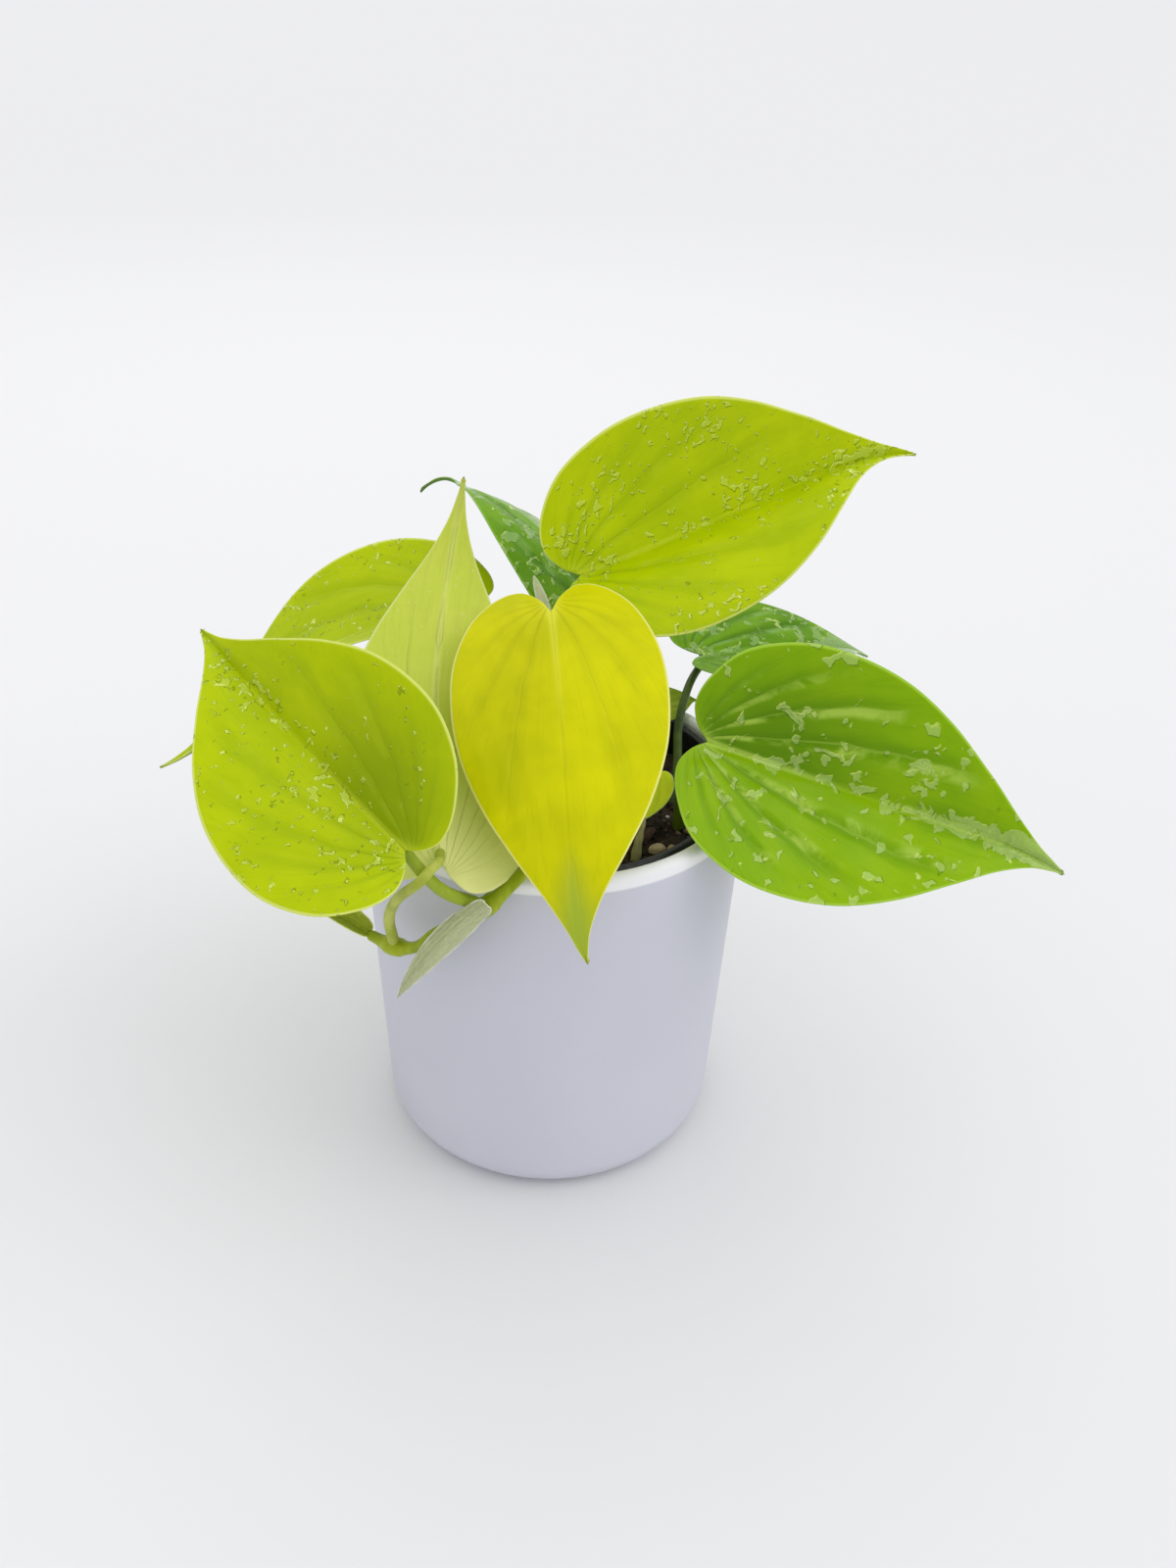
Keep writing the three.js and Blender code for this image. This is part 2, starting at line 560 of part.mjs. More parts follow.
let soil = soilBody();
stalkHoles.forEach(([points, radiusAt, sides, steps]) => {
  const path = points.map((p) => p.clone());
  path[0].z -= GAP;
  soil = soil.subtract(toSolid(stalk(path, (s) => radiusAt(s) + HOLE_GAP, sides, steps)));
});
bedded.forEach(([name, finish, halfSizes, place, turn]) => {
  addPiece(name, chip(halfSizes, place, turn), finish);
  soil = soil.subtract(toSolid(chip(halfSizes.map((size) => size + GAP), place, turn)));
});
addPiece('soil', toGeometry(soil), earth);

export default plant;
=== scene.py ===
"""Potted lemon lime philodendron: the fine surface model over its CAD frame.

Sizes in the tables below are millimetres in the row frame, and meshes are made in metres.
"""
import math
import random

import bpy
import numpy as np
from mathutils import Matrix, Vector


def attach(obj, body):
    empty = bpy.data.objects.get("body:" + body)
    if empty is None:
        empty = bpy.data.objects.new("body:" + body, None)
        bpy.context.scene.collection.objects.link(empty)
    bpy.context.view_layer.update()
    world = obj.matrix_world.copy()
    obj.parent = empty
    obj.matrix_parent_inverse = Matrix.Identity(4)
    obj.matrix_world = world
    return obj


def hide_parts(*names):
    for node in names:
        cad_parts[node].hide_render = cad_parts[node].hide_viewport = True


bl_info = {
    "name": "Potted Philodendron",
    "version": (1, 0, 0),
    "blender": (4, 5, 0),
    "location": "3D View > Sidebar > Plant",
    "description": "Models a potted lemon lime philodendron over its CAD frame",
    "category": "Object",
}

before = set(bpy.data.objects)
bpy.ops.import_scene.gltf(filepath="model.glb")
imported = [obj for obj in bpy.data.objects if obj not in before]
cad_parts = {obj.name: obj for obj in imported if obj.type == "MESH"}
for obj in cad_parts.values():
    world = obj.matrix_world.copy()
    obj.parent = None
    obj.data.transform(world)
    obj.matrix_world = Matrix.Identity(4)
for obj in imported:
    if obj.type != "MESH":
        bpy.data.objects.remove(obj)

MM = 0.001
# Angles in radians
GOLDEN_ANGLE = 2.39996
FULL_TURN = 6.28


# Short forms

def linear(r, g, b):
    """An sRGB colour of 0 to 255 as linear values."""
    shares = [c / 255 for c in (r, g, b)]
    return tuple(s / 12.92 if s <= 0.04045 else ((s + 0.055) / 1.055) ** 2.4 for s in shares)


def toned(colour, share):
    """A linear colour made darker or lighter."""
    return tuple(c * share for c in colour)


def unit(values):
    """Values kept between 0 and 1."""
    return np.clip(values, 0, 1)


def bell(values):
    """A smooth bump, 1 high at 0."""
    return np.exp(-(values ** 2))


def polar(radius, angle):
    """A place on a circle."""
    return radius * math.cos(angle), radius * math.sin(angle)


# Sizes and places

# Half outline of a heart-shaped blade: share of the length past the stalk, share of the half width
HEART = [
    (0, 0), (-0.055, 0.1), (-0.1, 0.28), (-0.088, 0.52), (-0.015, 0.78), (0.12, 0.96), (0.27, 1),
    (0.43, 0.93), (0.58, 0.74), (0.71, 0.48), (0.81, 0.25), (0.89, 0.105), (0.95, 0.04), (1, 0),
]
# The same with a longer, thinner tail
TAILED = HEART[:10] + [(0.8, 0.22), (0.87, 0.06), (0.94, 0.028), (1, 0)]
# And for a narrow sheath
LANCE = [(0, 0), (0.02, 0.55), (0.15, 0.85), (0.35, 1), (0.6, 0.85), (0.82, 0.45), (0.94, 0.15), (1, 0)]

# Where the line of a midrib, the bend of its tip and its tail start, as shares of the length, and
# the way in which an arched tail rises
MIDLINE_FROM = -0.3
MIDLINE_STEPS = 261
TIP_BEND_FROM = 0.62
TAIL_FROM, TAIL_SPAN = 0.78, 0.22
TAIL_RISE = np.array([0, 0.52, 0.85])

# The mesh of a blade: how far its rows crowd to the stalk, and how its edge is thinned and rounded.
# A leaf shorter than SMALL_LEAF is coarser and has no relief.
ROW_CROWDING = 1.5
EDGE_THINNING = 0.45
EDGE_ROUND = 0.14
SMALL_LEAF = 40

# Side veins: their spacing in radians, how they arch, and how far behind the stalk they spread from
VEIN_ANGLE = 0.4
VEIN_ARCHING = 1.2
VEIN_ORIGIN = 4

# Relief: a vein's width as a share of the spacing, its rise below, the midrib's groove and the swell
VEIN_WIDTH = 0.13
VEIN_RISE = 0.2
GROOVE_WIDTH = 1.3
SWELL = 0.14
RIB_END = 1.05

# What the UV maps hold: a width in millimetres, and a number of side veins
MAP_WIDTH = 100
MAP_VEINS = 10

# Tubes: points on each span of a path, and the angles of the rings on a domed end
SPAN_POINTS = 40
DOME = np.radians([22, 45, 66, 82])

# Stalks: where one joins its blade, the points along it, and its distance from a node of the vine
JOINT_AT = 0.018
STALK_POINTS = 60
NODE_CLEARANCE = 3.6

# Soil, and the crumbs and fibres that lie on it. Most crumbs are dark, and of the others a share
# are grit and the rest are perlite.
FOOT_Z = 90.0
SOIL_LEVEL = 107.0
SOIL_BUMP = 1.1
SOIL_RADIUS = 46.7
SEED = 7
CRUMB_SPREAD = 45
DARK_CRUMBS = 0.86
GRIT_CRUMBS = 0.6
FIBRES = 70
FIBRE_SPREAD = 43
FIBRE_LIMIT = 46
FIBRE_RADIUS = 0.16

# The vine's nodes, and points along the middle of each stem
FIRST_NODE = (-14.3, -61, 114.1)
SECOND_NODE = (-39.8, -51, 92.3)
VINE = [
    (-2, -26, FOOT_Z), (-1, -32, 110), (-2, -45, 120.4), (-5, -55.6, 121.6), (-9.5, -60, 118.6),
    FIRST_NODE, (-21, -60, 108), (-27.7, -58, 102.6), (-33.5, -55, 95.5), SECOND_NODE,
    (-46.5, -46, 91.5),
]

# Each leaf: finish, blade sizes, stalk points from the foot up, and the stalk's radius at both ends
LEAVES = {
    "leaf_front": ("gold", dict(
        place=(-1.2, -7.5, 170.5), heading=-83, pitch=-16, roll=19, length=100, left=28, right=28,
        droop=37, tip_droop=49, sweep=13, tip_sweep=4, fold=(-9, 9), curl=(-22, -11),
        ribs=5, rib_rise=0.25),
        [(14, -12, FOOT_Z), (14, -11, 112), (11, -6, 138), (4, -2, 158)], 1.9, 1.4),
    "leaf_top_right": ("lime", dict(
        place=(6.2, 17.1, 170.8), heading=36, pitch=7, roll=34, length=115, left=39, right=32, lobe=0.9,
        droop=-21, tip_droop=14, sweep=4, tip_sweep=27, fold=(40, 34), curl=(25, -54),
        ribs=5, rib_rise=0.3),
        [(24, -6, FOOT_Z), (22.5, -2, 108), (17, 7, 128), (11, 15, 156)], 2, 1.5),
    "leaf_right": ("green", dict(
        place=(41.8, -16.6, 138), heading=7, pitch=-22, roll=51, length=107, left=36, right=37, lobe=0.8,
        droop=-32, tip_droop=36, sweep=9, tip_sweep=3, fold=(37, 19), curl=(-4, -7),
        ribs=6, rib_rise=0.5),
        [(36, -12, FOOT_Z), (36, -11.5, 110), (37.5, -10, 126)], 1.9, 1.4),
    "leaf_back_left": ("lime", dict(
        place=(-29, 40.5, 149.3), heading=192, pitch=-2, roll=9, length=113, left=32, right=38, lobe=0.9,
        droop=62, tip_droop=-48, sweep=26, tip_sweep=-32, fold=(16, 17), curl=(-14, 22),
        ribs=5, rib_rise=0.25),
        [(-8, 22, FOOT_Z), (-9, 24, 113), (-16, 33, 134)], 1.9, 1.4),
    "leaf_back_centre": ("dark", dict(
        place=(17, 49.8, 137), heading=133, pitch=59, roll=31, length=95, left=30, right=29,
        droop=78, tip_droop=-7, sweep=33, tip_sweep=-8, fold=(-1, 3), curl=(-33, -8),
        outline=TAILED, arch=3.4,
        ribs=5, rib_rise=0.3),
        [(12, 27, FOOT_Z), (12, 28, 113), (15, 38, 128)], 1.7, 1.3),
    "leaf_back_right": ("dark", dict(
        place=(44.5, 49.7, 132), heading=23, pitch=0, roll=4, length=67, left=27, right=27,
        droop=17, tip_droop=16, sweep=-3, tip_sweep=-1, fold=(17, 16), curl=(-13, -14),
        ribs=5, rib_rise=0.3),
        [(33.5, -2, FOOT_Z), (34.4, 0, 104), (36.4, 13, 113.2), (36.8, 24, 120.4), (40, 36, 127.8)],
        1.5, 1.2),
    "leaf_small_back": ("olive", dict(
        place=(26, 36.2, 119.9), heading=16, pitch=7, roll=8, length=19.3, left=8.7, right=9.4,
        droop=10, tip_droop=28, sweep=-3, tip_sweep=4, fold=(13, 10), curl=(-17, -19)),
        [(21, 22, FOOT_Z), (21, 23, 108), (23, 30, 116)], 1, 0.8),
    "leaf_small_front": ("young", dict(
        place=(28.6, -7.4, 121.1), heading=252, pitch=-19, roll=-1, length=21.8, left=6.8, right=9,
        droop=-7, tip_droop=-38, sweep=4, tip_sweep=14, fold=(14, 16), curl=(-11, -14)),
        [(29, 6, FOOT_Z), (29, 5.5, 108), (29.5, 0, 116)], 1, 0.8),
    "leaf_left": ("lime", dict(
        place=(-32.7, -68.5, 135.6), heading=132, pitch=9, roll=-31, length=95, left=34, right=33,
        droop=-17, tip_droop=22, sweep=3, tip_sweep=1, fold=(24, 37), curl=(-21, -15),
        ribs=5, rib_rise=0.3),
        [FIRST_NODE, (-19, -62.2, 116.6), (-24, -65, 121), (-28.8, -67, 127.8)], 1.75, 1.4),
    "leaf_pale": ("pale", dict(
        place=(-25.4, -59.4, 125.3), heading=-78, pitch=147, roll=-4, length=115, left=25, right=25,
        lobe=0.7, lobe_right=0.2,
        droop=-4, tip_droop=60, sweep=-18, tip_sweep=-3, fold=(14, 12), curl=(-8, -13),
        ribs=5, rib_rise=0.25),
        [SECOND_NODE, (-39.6, -57, 106), (-35.5, -65.5, 119), (-29, -71.3, 128.4), (-25.9, -68.4, 131),
         (-25.3, -62.8, 128.8)], 1.5, 1.2),
}

SHEATHS = {
    "node_sheath": dict(
        place=(-13.8, -67.8, 119.7), heading=167, pitch=-46, roll=-84, length=47, left=4.5, right=3.4,
        outline=LANCE, droop=8, tip_droop=4, sweep=-19, fold=(-18, -18), curl=(-20, -20)),
    "new_shoot": dict(
        place=(-47.2, -45.5, 91.6), heading=155, pitch=14, roll=-20, length=27, left=5, right=5,
        outline=LANCE, droop=-16, tip_droop=5, fold=(40, 40), curl=(20, 20)),
}

YOUNG_SHOOT = [(-2, 24, FOOT_Z), (-2, 25, 115), (-3, 24, 145), (-4, 21, 158), (-7, 19, 169)]
DRY_SHEATH = [(23.5, -28.9, 104), (24.0, -28.5, 112), (25.6, -27.5, 120)]
OLD_STEM = [(30, 19, FOOT_Z), (30.4, 19.4, 108), (31, 20, 122)]

# Stones and bark in the soil: finish, half sizes, place, turn in degrees
BEDDED = {
    "pebble_1": ("stone", (2.4, 1.9, 1.4), (29.5, -25, 108.3), 20),
    "pebble_2": ("stone", (1.7, 2.1, 1.3), (33.8, -25.2, 108.2), -30),
    "bark_chip": ("bark", (4.2, 1.7, 1.1), (27, -17.5, 108), 60),
}

# What a leaf's finish has where its own entry doesn't say otherwise
PLAIN_LEAF = dict(crease=0.0, painted_sheen=0.0, fold=0.0, wet=0.0, film=0.0, dim=(0, 0), dry=(0, 0))

# Leaf finishes, with colours as sRGB
FINISHES = {
    "gold": dict(
        main=(196, 198, 0), second=(212, 211, 0), shade=(168, 172, 0), vein=(226, 226, 70),
        edge=(236, 234, 140), under=(196, 202, 84), tail=(160, 182, 56), tail_from=0.75,
        rough=0.45, lines=0.06, band=0.4, trough=0.22, crease=0.15, fold=0.14),
    "lime": dict(
        main=(175, 196, 0), second=(187, 205, 0), shade=(146, 172, 0), vein=(204, 218, 54),
        edge=(222, 232, 120), under=(180, 198, 80), rough=0.4, lines=0.06, band=0.4, trough=0.36,
        painted_sheen=0.12, fold=0.35, wet=0.5, wet_scale=420, painted_water_shine=(200, 222, 40)),
    "young": dict(
        main=(208, 226, 20), second=(220, 234, 40), shade=(176, 200, 6), vein=(228, 236, 110),
        edge=(232, 238, 150), under=(190, 206, 80), rough=0.4, lines=0.06, band=0.4, trough=0.3),
    "green": dict(
        main=(134, 178, 0), second=(146, 186, 0), shade=(90, 140, 0), vein=(180, 210, 84),
        edge=(168, 208, 70), under=(132, 164, 70), rough=0.26, lines=0.3, band=0.8, trough=0.5,
        painted_sheen=0.7, fold=0.8, wet=0.5, film=0.35, wet_scale=230, painted_water_shine=(200, 224, 128)),
    "dark": dict(
        main=(96, 146, 0), second=(118, 166, 4), shade=(54, 104, 0), vein=(150, 192, 100),
        edge=(140, 188, 70), under=(104, 140, 66), rough=0.22, lines=0.15, band=0.4, trough=0.5,
        painted_sheen=0.5, fold=0.6, wet=0.9, film=0.6, wet_scale=260, painted_water_shine=(150, 190, 100)),
    "pale": dict(
        main=(180, 200, 40), second=(196, 212, 60), shade=(160, 184, 40), vein=(250, 250, 170),
        edge=(220, 228, 150), under=(200, 212, 80), rough=0.5, lines=0.1, band=0.3, trough=0.3,
        fold=0.2),
    "olive": dict(
        main=(134, 156, 24), second=(150, 168, 40), shade=(104, 130, 14), vein=(170, 184, 90),
        edge=(170, 184, 90), under=(140, 156, 70), rough=0.5, lines=0.1, band=0.3, trough=0.4),
}

# What sets one leaf apart from its finish. dim and dry are for its left and right halves: how much
# painted shade darkens each, and how much less water lies on it.
LEAF_LOOKS = {
    "leaf_front": dict(dim=(0.0, 0.2)),
    "leaf_left": dict(dim=(0.15, 0.85), dry=(0, 0.06)),
    "leaf_top_right": dict(dry=(0, 0.03)),
    "leaf_back_left": dict(dim=(0.3, 0.3), wet=0.05),
    "leaf_right": dict(dim=(0.75, 0.1)),
    "leaf_back_centre": dict(tail=(172, 192, 20), tail_from=0.8),
}
TAIL_BLEND = 0.14
UNDER_SPECKS = (228, 232, 190)
# Heights in metres over which the painted highlight on the cover pot's lip comes in
PAINTED_LIP_LIGHT = (0.1134, 0.1144)

# Water on the leaves: where its noise turns to drops and to film, how far a wet leaf's are lower,
# and in metres how drops are pulled out of round, how high they stand and where the light comes from
DROP_EDGE = (0.96, 1.0)
FILM_EDGE = (0.67, 0.71)
WETTER = 0.1
DROP_WARP = (0.003, 0.003, 0.003)
DROP_HEIGHT = 0.00022
TOWARDS_LIGHT = (-0.00012, -0.0001, 0.00025)
# Colour of the painted highlight on the drops' lit sides
LIT_WATER = (224, 240, 116)


# Surfaces

class Blade:
    """A leaf or sheath surface. Lengths in millimetres, angles in degrees."""

    def __init__(self, place, heading, pitch, roll, length, left, right, droop=15, tip_droop=10, sweep=0,
                 tip_sweep=0, fold=(16, 16), curl=(-14, -14), lobe=1, lobe_right=None, ribs=0, rib_rise=0,
                 outline=HEART, arch=0):
        self.place, self.length, self.arch = np.array(place, float), length, arch
        self.half = (left, right)
        self.bends = (droop, tip_droop, sweep, tip_sweep)
        self.fold, self.curl = fold, curl
        self.ribs, self.rib_rise = ribs, rib_rise
        h, p, r = (math.radians(a) for a in (heading, pitch, roll))
        self.along = np.array([math.cos(p) * math.cos(h), math.cos(p) * math.sin(h), math.sin(p)])
        flat_right = np.array([math.sin(h), -math.cos(h), 0.0])
        flat_up = np.cross(flat_right, self.along)
        self.across = flat_right * math.cos(r) - flat_up * math.sin(r)
        self.up = flat_up * math.cos(r) + flat_right * math.sin(r)
        lobes = (lobe, lobe if lobe_right is None else lobe_right)
        self.rims = [np.array([(u * k if u < 0 else u, v) for u, v in outline], float) for k in lobes]
        self.steps = np.linspace(MIDLINE_FROM, 1, MIDLINE_STEPS)
        middles = (self.steps[:-1] + self.steps[1:]) / 2
        walk = np.cumsum(self.axes(middles)[0], axis=0) * (self.steps[1] - self.steps[0])
        self.line = np.vstack([np.zeros(3), walk]) * length
        self.line -= self.on_line(np.array([0.0]))

    def axes(self, u):
        """Directions along and across the bent midrib, and square to both, in the blade's own frame."""
        late = unit((u - TIP_BEND_FROM) / (1 - TIP_BEND_FROM)) ** 2
        droop, tip_droop, sweep, tip_sweep = self.bends
        d = np.radians(droop * u + tip_droop * late)
        s = np.radians(sweep * u + tip_sweep * late)
        along = np.stack([np.cos(d) * np.cos(s), np.cos(d) * np.sin(s), -np.sin(d)], -1)
        across = np.stack([-np.sin(s), np.cos(s), 0 * s], -1)
        normal = np.stack([np.sin(d) * np.cos(s), np.sin(d) * np.sin(s), np.cos(d)], -1)
        return along, across, normal

    def on_line(self, u):
        """Points on the bent midrib."""
        return np.stack([np.interp(u, self.steps, self.line[:, k]) for k in range(3)], -1)

    def at(self, u, b, lift=0.0):
        """Points at share u of the length and b across, positive to the right, raised by lift."""
        u, b = np.asarray(u, float), np.asarray(b, float)
        _, across, normal = self.axes(u)
        right = b >= 0
        half = np.where(right, self.half[1], self.half[0])
        fold = np.radians(np.where(right, self.fold[1], self.fold[0]))
        bend = np.radians(np.where(right, self.curl[1], self.curl[0])) / half
        reach = np.abs(b)
        out = (np.sin(fold + bend * reach) - np.sin(fold)) / bend
        rise = (np.cos(fold) - np.cos(fold + bend * reach)) / bend + lift
        local = self.on_line(u) + across * (np.sign(b) * out)[..., None] + normal * rise[..., None]
        late = unit((u - TAIL_FROM) / TAIL_SPAN)
        tail = self.arch * (np.sin(np.pi * late) - 0.35 * late ** 8)
        return (self.place + local[..., 0:1] * self.along + local[..., 1:2] * self.across
                + local[..., 2:3] * self.up + tail[..., None] * TAIL_RISE)

    def rim(self, side, t):
        """One side's outline at shares t of its run, as shares of the length and of the half width."""
        return uniform_curve(self.rims[1 if side > 0 else 0], t)


def uniform_curve(corners, t):
    """Points at shares t of a uniform Catmull-Rom curve through the corners."""
    last = len(corners) - 1
    place = np.asarray(t) * last
    i = np.minimum(place.astype(int), last - 1)
    w = (place - i)[:, None]
    p0, p1, p2, p3 = (corners[np.clip(i + k, 0, last)] for k in (-1, 0, 1, 2))
    v0, v1 = (p2 - p0) / 2, (p3 - p1) / 2
    return (2 * p1 - 2 * p2 + v0 + v1) * w ** 3 + (3 * p2 - 3 * p1 - 2 * v0 - v1) * w ** 2 + v0 * w + p1


def slope(before, here, after, first, second):
    """The slope at a corner between spans of two lengths."""
    return (here - before) / first - (after - before) / (first + second) + (after - here) / second


def smooth_path(corners, count):
    """Evenly spaced points of a centripetal Catmull-Rom curve through the corners."""
    p = [np.array(c, float) for c in corners]
    p = [2 * p[0] - p[1]] + p + [2 * p[-1] - p[-2]]
    dense = []
    for k in range(1, len(p) - 2):
        dt = [max(np.linalg.norm(p[k + j + 1] - p[k + j]) ** 0.5, 1e-4) for j in (-1, 0, 1)]
        a, b = p[k], p[k + 1]
        t1 = slope(p[k - 1], a, b, dt[0], dt[1]) * dt[1]
        t2 = slope(a, b, p[k + 2], dt[1], dt[2]) * dt[1]
        for w in np.linspace(0, 1, SPAN_POINTS, endpoint=False):
            dense.append(a + t1 * w + (3 * (b - a) - 2 * t1 - t2) * w ** 2
                         + (2 * (a - b) + t1 + t2) * w ** 3)
    dense.append(p[-2])
    dense = np.array(dense)
    run = np.concatenate([[0], np.cumsum(np.linalg.norm(np.diff(dense, axis=0), axis=1))])
    places = np.linspace(0, run[-1], count)
    return np.stack([np.interp(places, run, dense[:, k]) for k in range(3)], -1)


class Build:
    """Collects the faces of one mesh, with its UV maps and a material number for each face."""

    def __init__(self):
        self.points, self.faces, self.numbers = [], [], []
        self.maps = {"veins": [], "place": [], "flow": []}

    def add(self, points, faces, number, maps=None):
        """maps gives each UV map's pairs, one for each point. Returns the first point's number."""
        first = len(self.points)
        self.points.extend(np.asarray(points).tolist())
        self.more(first, faces, number, maps)
        return first

    def more(self, first, faces, number, maps):
        """Faces over points that are already there, numbered from first."""
        for face in faces:
            self.faces.append([first + i for i in face])
            self.numbers.append(number)
            for label, pairs in self.maps.items():
                given = maps.get(label) if maps else None
                pairs.extend(given[i] if given else (0.0, 0.0) for i in face)

    def tube(self, path, radii, number, sides):
        """A round tube along points, with a radius at each and domed ends."""
        path, radii = np.asarray(path), list(radii)
        tangents = np.gradient(path, axis=0)
        tangents /= np.linalg.norm(tangents, axis=1)[:, None]
        rings = [(path[i], radii[i], tangents[i], i / (len(path) - 1)) for i in range(len(path))]
        dome = [polar(1, a) for a in DOME]
        start = [(path[0] - tangents[0] * radii[0] * s, radii[0] * c, tangents[0], 0) for c, s in dome]
        end = [(path[-1] + tangents[-1] * radii[-1] * s, radii[-1] * c, tangents[-1], 1) for c, s in dome]
        rings = start[::-1] + rings + end
        # Any side will do that no path starts along
        side = np.cross(tangents[0], (0.31, 0.87, 0.4))
        points, uvs = [], []
        for centre, radius, tangent, share in rings:
            side = side - tangent * side.dot(tangent)
            side /= np.linalg.norm(side)
            other = np.cross(tangent, side)
            for k in range(sides):
                a = 2 * math.pi * k / sides
                points.append(centre + (side * math.cos(a) + other * math.sin(a)) * radius)
                uvs.append((k / sides, share))
        faces = []
        for r in range(len(rings) - 1):
            for k in range(sides):
                n = (k + 1) % sides
                faces.append([r * sides + k, r * sides + n, (r + 1) * sides + n, (r + 1) * sides + k])
        faces.append(list(range(sides))[::-1])
        faces.append([(len(rings) - 1) * sides + k for k in range(sides)])
        self.add(points, faces, number, {"veins": uvs, "place": uvs})

    def object(self, name, materials):
        """The mesh as an object, now in metres."""
        mesh = bpy.data.meshes.new(name)
        mesh.from_pydata([[c * MM for c in p] for p in self.points], [], self.faces)
        for label, values in self.maps.items():
            layer = mesh.uv_layers.new(name=label)
            layer.data.foreach_set("uv", np.array(values, np.float32).ravel())
        for material in materials:
            mesh.materials.append(material)
        mesh.polygons.foreach_set("material_index", self.numbers)
        mesh.polygons.foreach_set("use_smooth", [True] * len(self.faces))
        mesh.validate()
        mesh.update()
        return placed(name, mesh)


def point_normals(points, faces):
    """Unit normals at the points, summed from the faces around them."""
    corners = [(f[0], f[1], f[2]) for f in faces]
    corners = np.array(corners + [(f[0], f[2], f[3]) for f in faces if len(f) > 3])
    p = points[corners]
    n = np.cross(p[:, 1] - p[:, 0], p[:, 2] - p[:, 0])
    total = np.zeros_like(points)
    for k in range(3):
        np.add.at(total, corners[:, k], n)
    return total / np.maximum(np.linalg.norm(total, axis=1), 1e-12)[:, None]


def blade_mesh(build, blade, rows, columns, thickness, relief, top_number, under_number, rib=None):
    """Both faces and the rounded edge of a blade, added to build."""
    t = np.linspace(0, 1, rows + 1)
    crowd = t ** ROW_CROWDING
    # Each point's number by row and column, its place u and b, its share t of the rim's run, and s
    # across, from 0 at the left edge to 1 at the right
    ids, u_all, b_all, t_all, s_all = {}, [], [], [], []
    rims = {side: blade.rim(side, t) for side in (-1, 1)}
    for row in range(rows + 1):
        for column in range(-columns, columns + 1):
            end = row in (0, rows)
            if end and column > -columns:
                ids[row, column] = ids[row, -columns]
                continue
            share = abs(column) / columns
            side = 1 if column >= 0 else -1
            rim = rims[side][row]
            ids[row, column] = len(u_all)
            u_all.append(crowd[row] * (1 - share) + rim[0] * share)
            b_all.append(0 if end else side * max(rim[1], 0) * share * blade.half[1 if side > 0 else 0])
            t_all.append(t[row])
            s_all.append(0.5 if end else 0.5 + 0.5 * side * share)
    u, b, t_at, s_at = (np.array(v) for v in (u_all, b_all, t_all, s_all))
    share = np.abs(s_at - 0.5) * 2
    top = blade.at(u, b, relief(u, b, t_at, share, False))
    faces = []
    for row in range(rows):
        for column in range(-columns, columns):
            ring = [ids[row, column], ids[row, column + 1], ids[row + 1, column + 1], ids[row + 1, column]]
            face = [v for k, v in enumerate(ring) if v not in ring[:k]]
            if len(face) > 2:
                faces.append(face)
    normals = point_normals(top, faces)
    depth = thickness * (1 - EDGE_THINNING * share ** 8) + relief(u, b, t_at, share, True)
    if rib:
        depth = depth + rib(u, b)
    under = top - normals * depth[:, None]
    outer = [ids[row, columns] for row in range(rows + 1)]
    outer += [ids[row, -columns] for row in range(rows - 1, 0, -1)]
    maps = {}
    for label, x, y in (("veins", s_at, t_at),
                        ("place", b / MAP_WIDTH + 0.5, (u - MIDLINE_FROM) / (1 - MIDLINE_FROM)),
                        ("flow", vein_flow(blade, u, b) / MAP_VEINS, u)):
        pairs = np.stack([x, y], -1).tolist()
        maps[label] = pairs * 2 + [pairs[i] for i in outer]
    ring_mid = (top[outer] + under[outer]) / 2
    run = np.roll(ring_mid, -1, axis=0) - np.roll(ring_mid, 1, axis=0)
    away = np.cross(run, normals[outer])
    away /= np.maximum(np.linalg.norm(away, axis=1), 1e-12)[:, None]
    count, n = len(u), len(outer)
    first = build.add(np.vstack([top, under, ring_mid + away * EDGE_ROUND]), faces, top_number, maps)
    ring = [2 * count + k for k in range(n)] + [2 * count]
    loop = outer + outer[:1]
    build.more(first, [[count + i for i in reversed(f)] for f in faces], under_number, maps)
    build.more(first, [[loop[k], ring[k], ring[k + 1], loop[k + 1]] for k in range(n)], top_number, maps)
    build.more(first, [[ring[k], count + loop[k], count + loop[k + 1], ring[k + 1]] for k in range(n)],
               under_number, maps)


def vein_flow(blade, u, b):
    """Which side vein a point lies on: 1, 2, 3... outwards from the midrib. They arch to the tip."""
    angle = np.arctan2(np.abs(b), u * blade.length + VEIN_ORIGIN)
    reach = np.hypot(b, u * blade.length) / blade.length
    return angle * (1 + VEIN_ARCHING * reach) / VEIN_ANGLE


def leaf_relief(blade, depth, fold):
    """Ribs, sunken veins and the midrib's groove; on the underside the veins stand out."""
    def relief(u, b, t, share, under):
        fade = 4 * share * (1 - share)
        inside = unit((1 - share) * 4)
        clear = unit(np.hypot(b, u * blade.length) / 8 - 0.4)
        flow = vein_flow(blade, u, b)
        near = np.abs(flow - np.maximum(np.round(flow), 1))
        vein = bell(near / VEIN_WIDTH) * clear * inside
        if under:
            return VEIN_RISE * vein * (1 - share)
        groove = bell(b / GROOVE_WIDTH) * unit(RIB_END - u) * unit(t * 30)
        wave = blade.rib_rise * np.sin(2 * np.pi * blade.ribs * t) * fade * 0.5
        swell = SWELL * np.sin(b * 0.9 + 3 * u) * np.sin(u * 21 + b * 0.25) * fade
        channel = fold * (0.3 - vein) * unit(share * 6) * clear * inside
        return wave + swell + channel - depth * 0.9 * groove
    return relief


# Materials

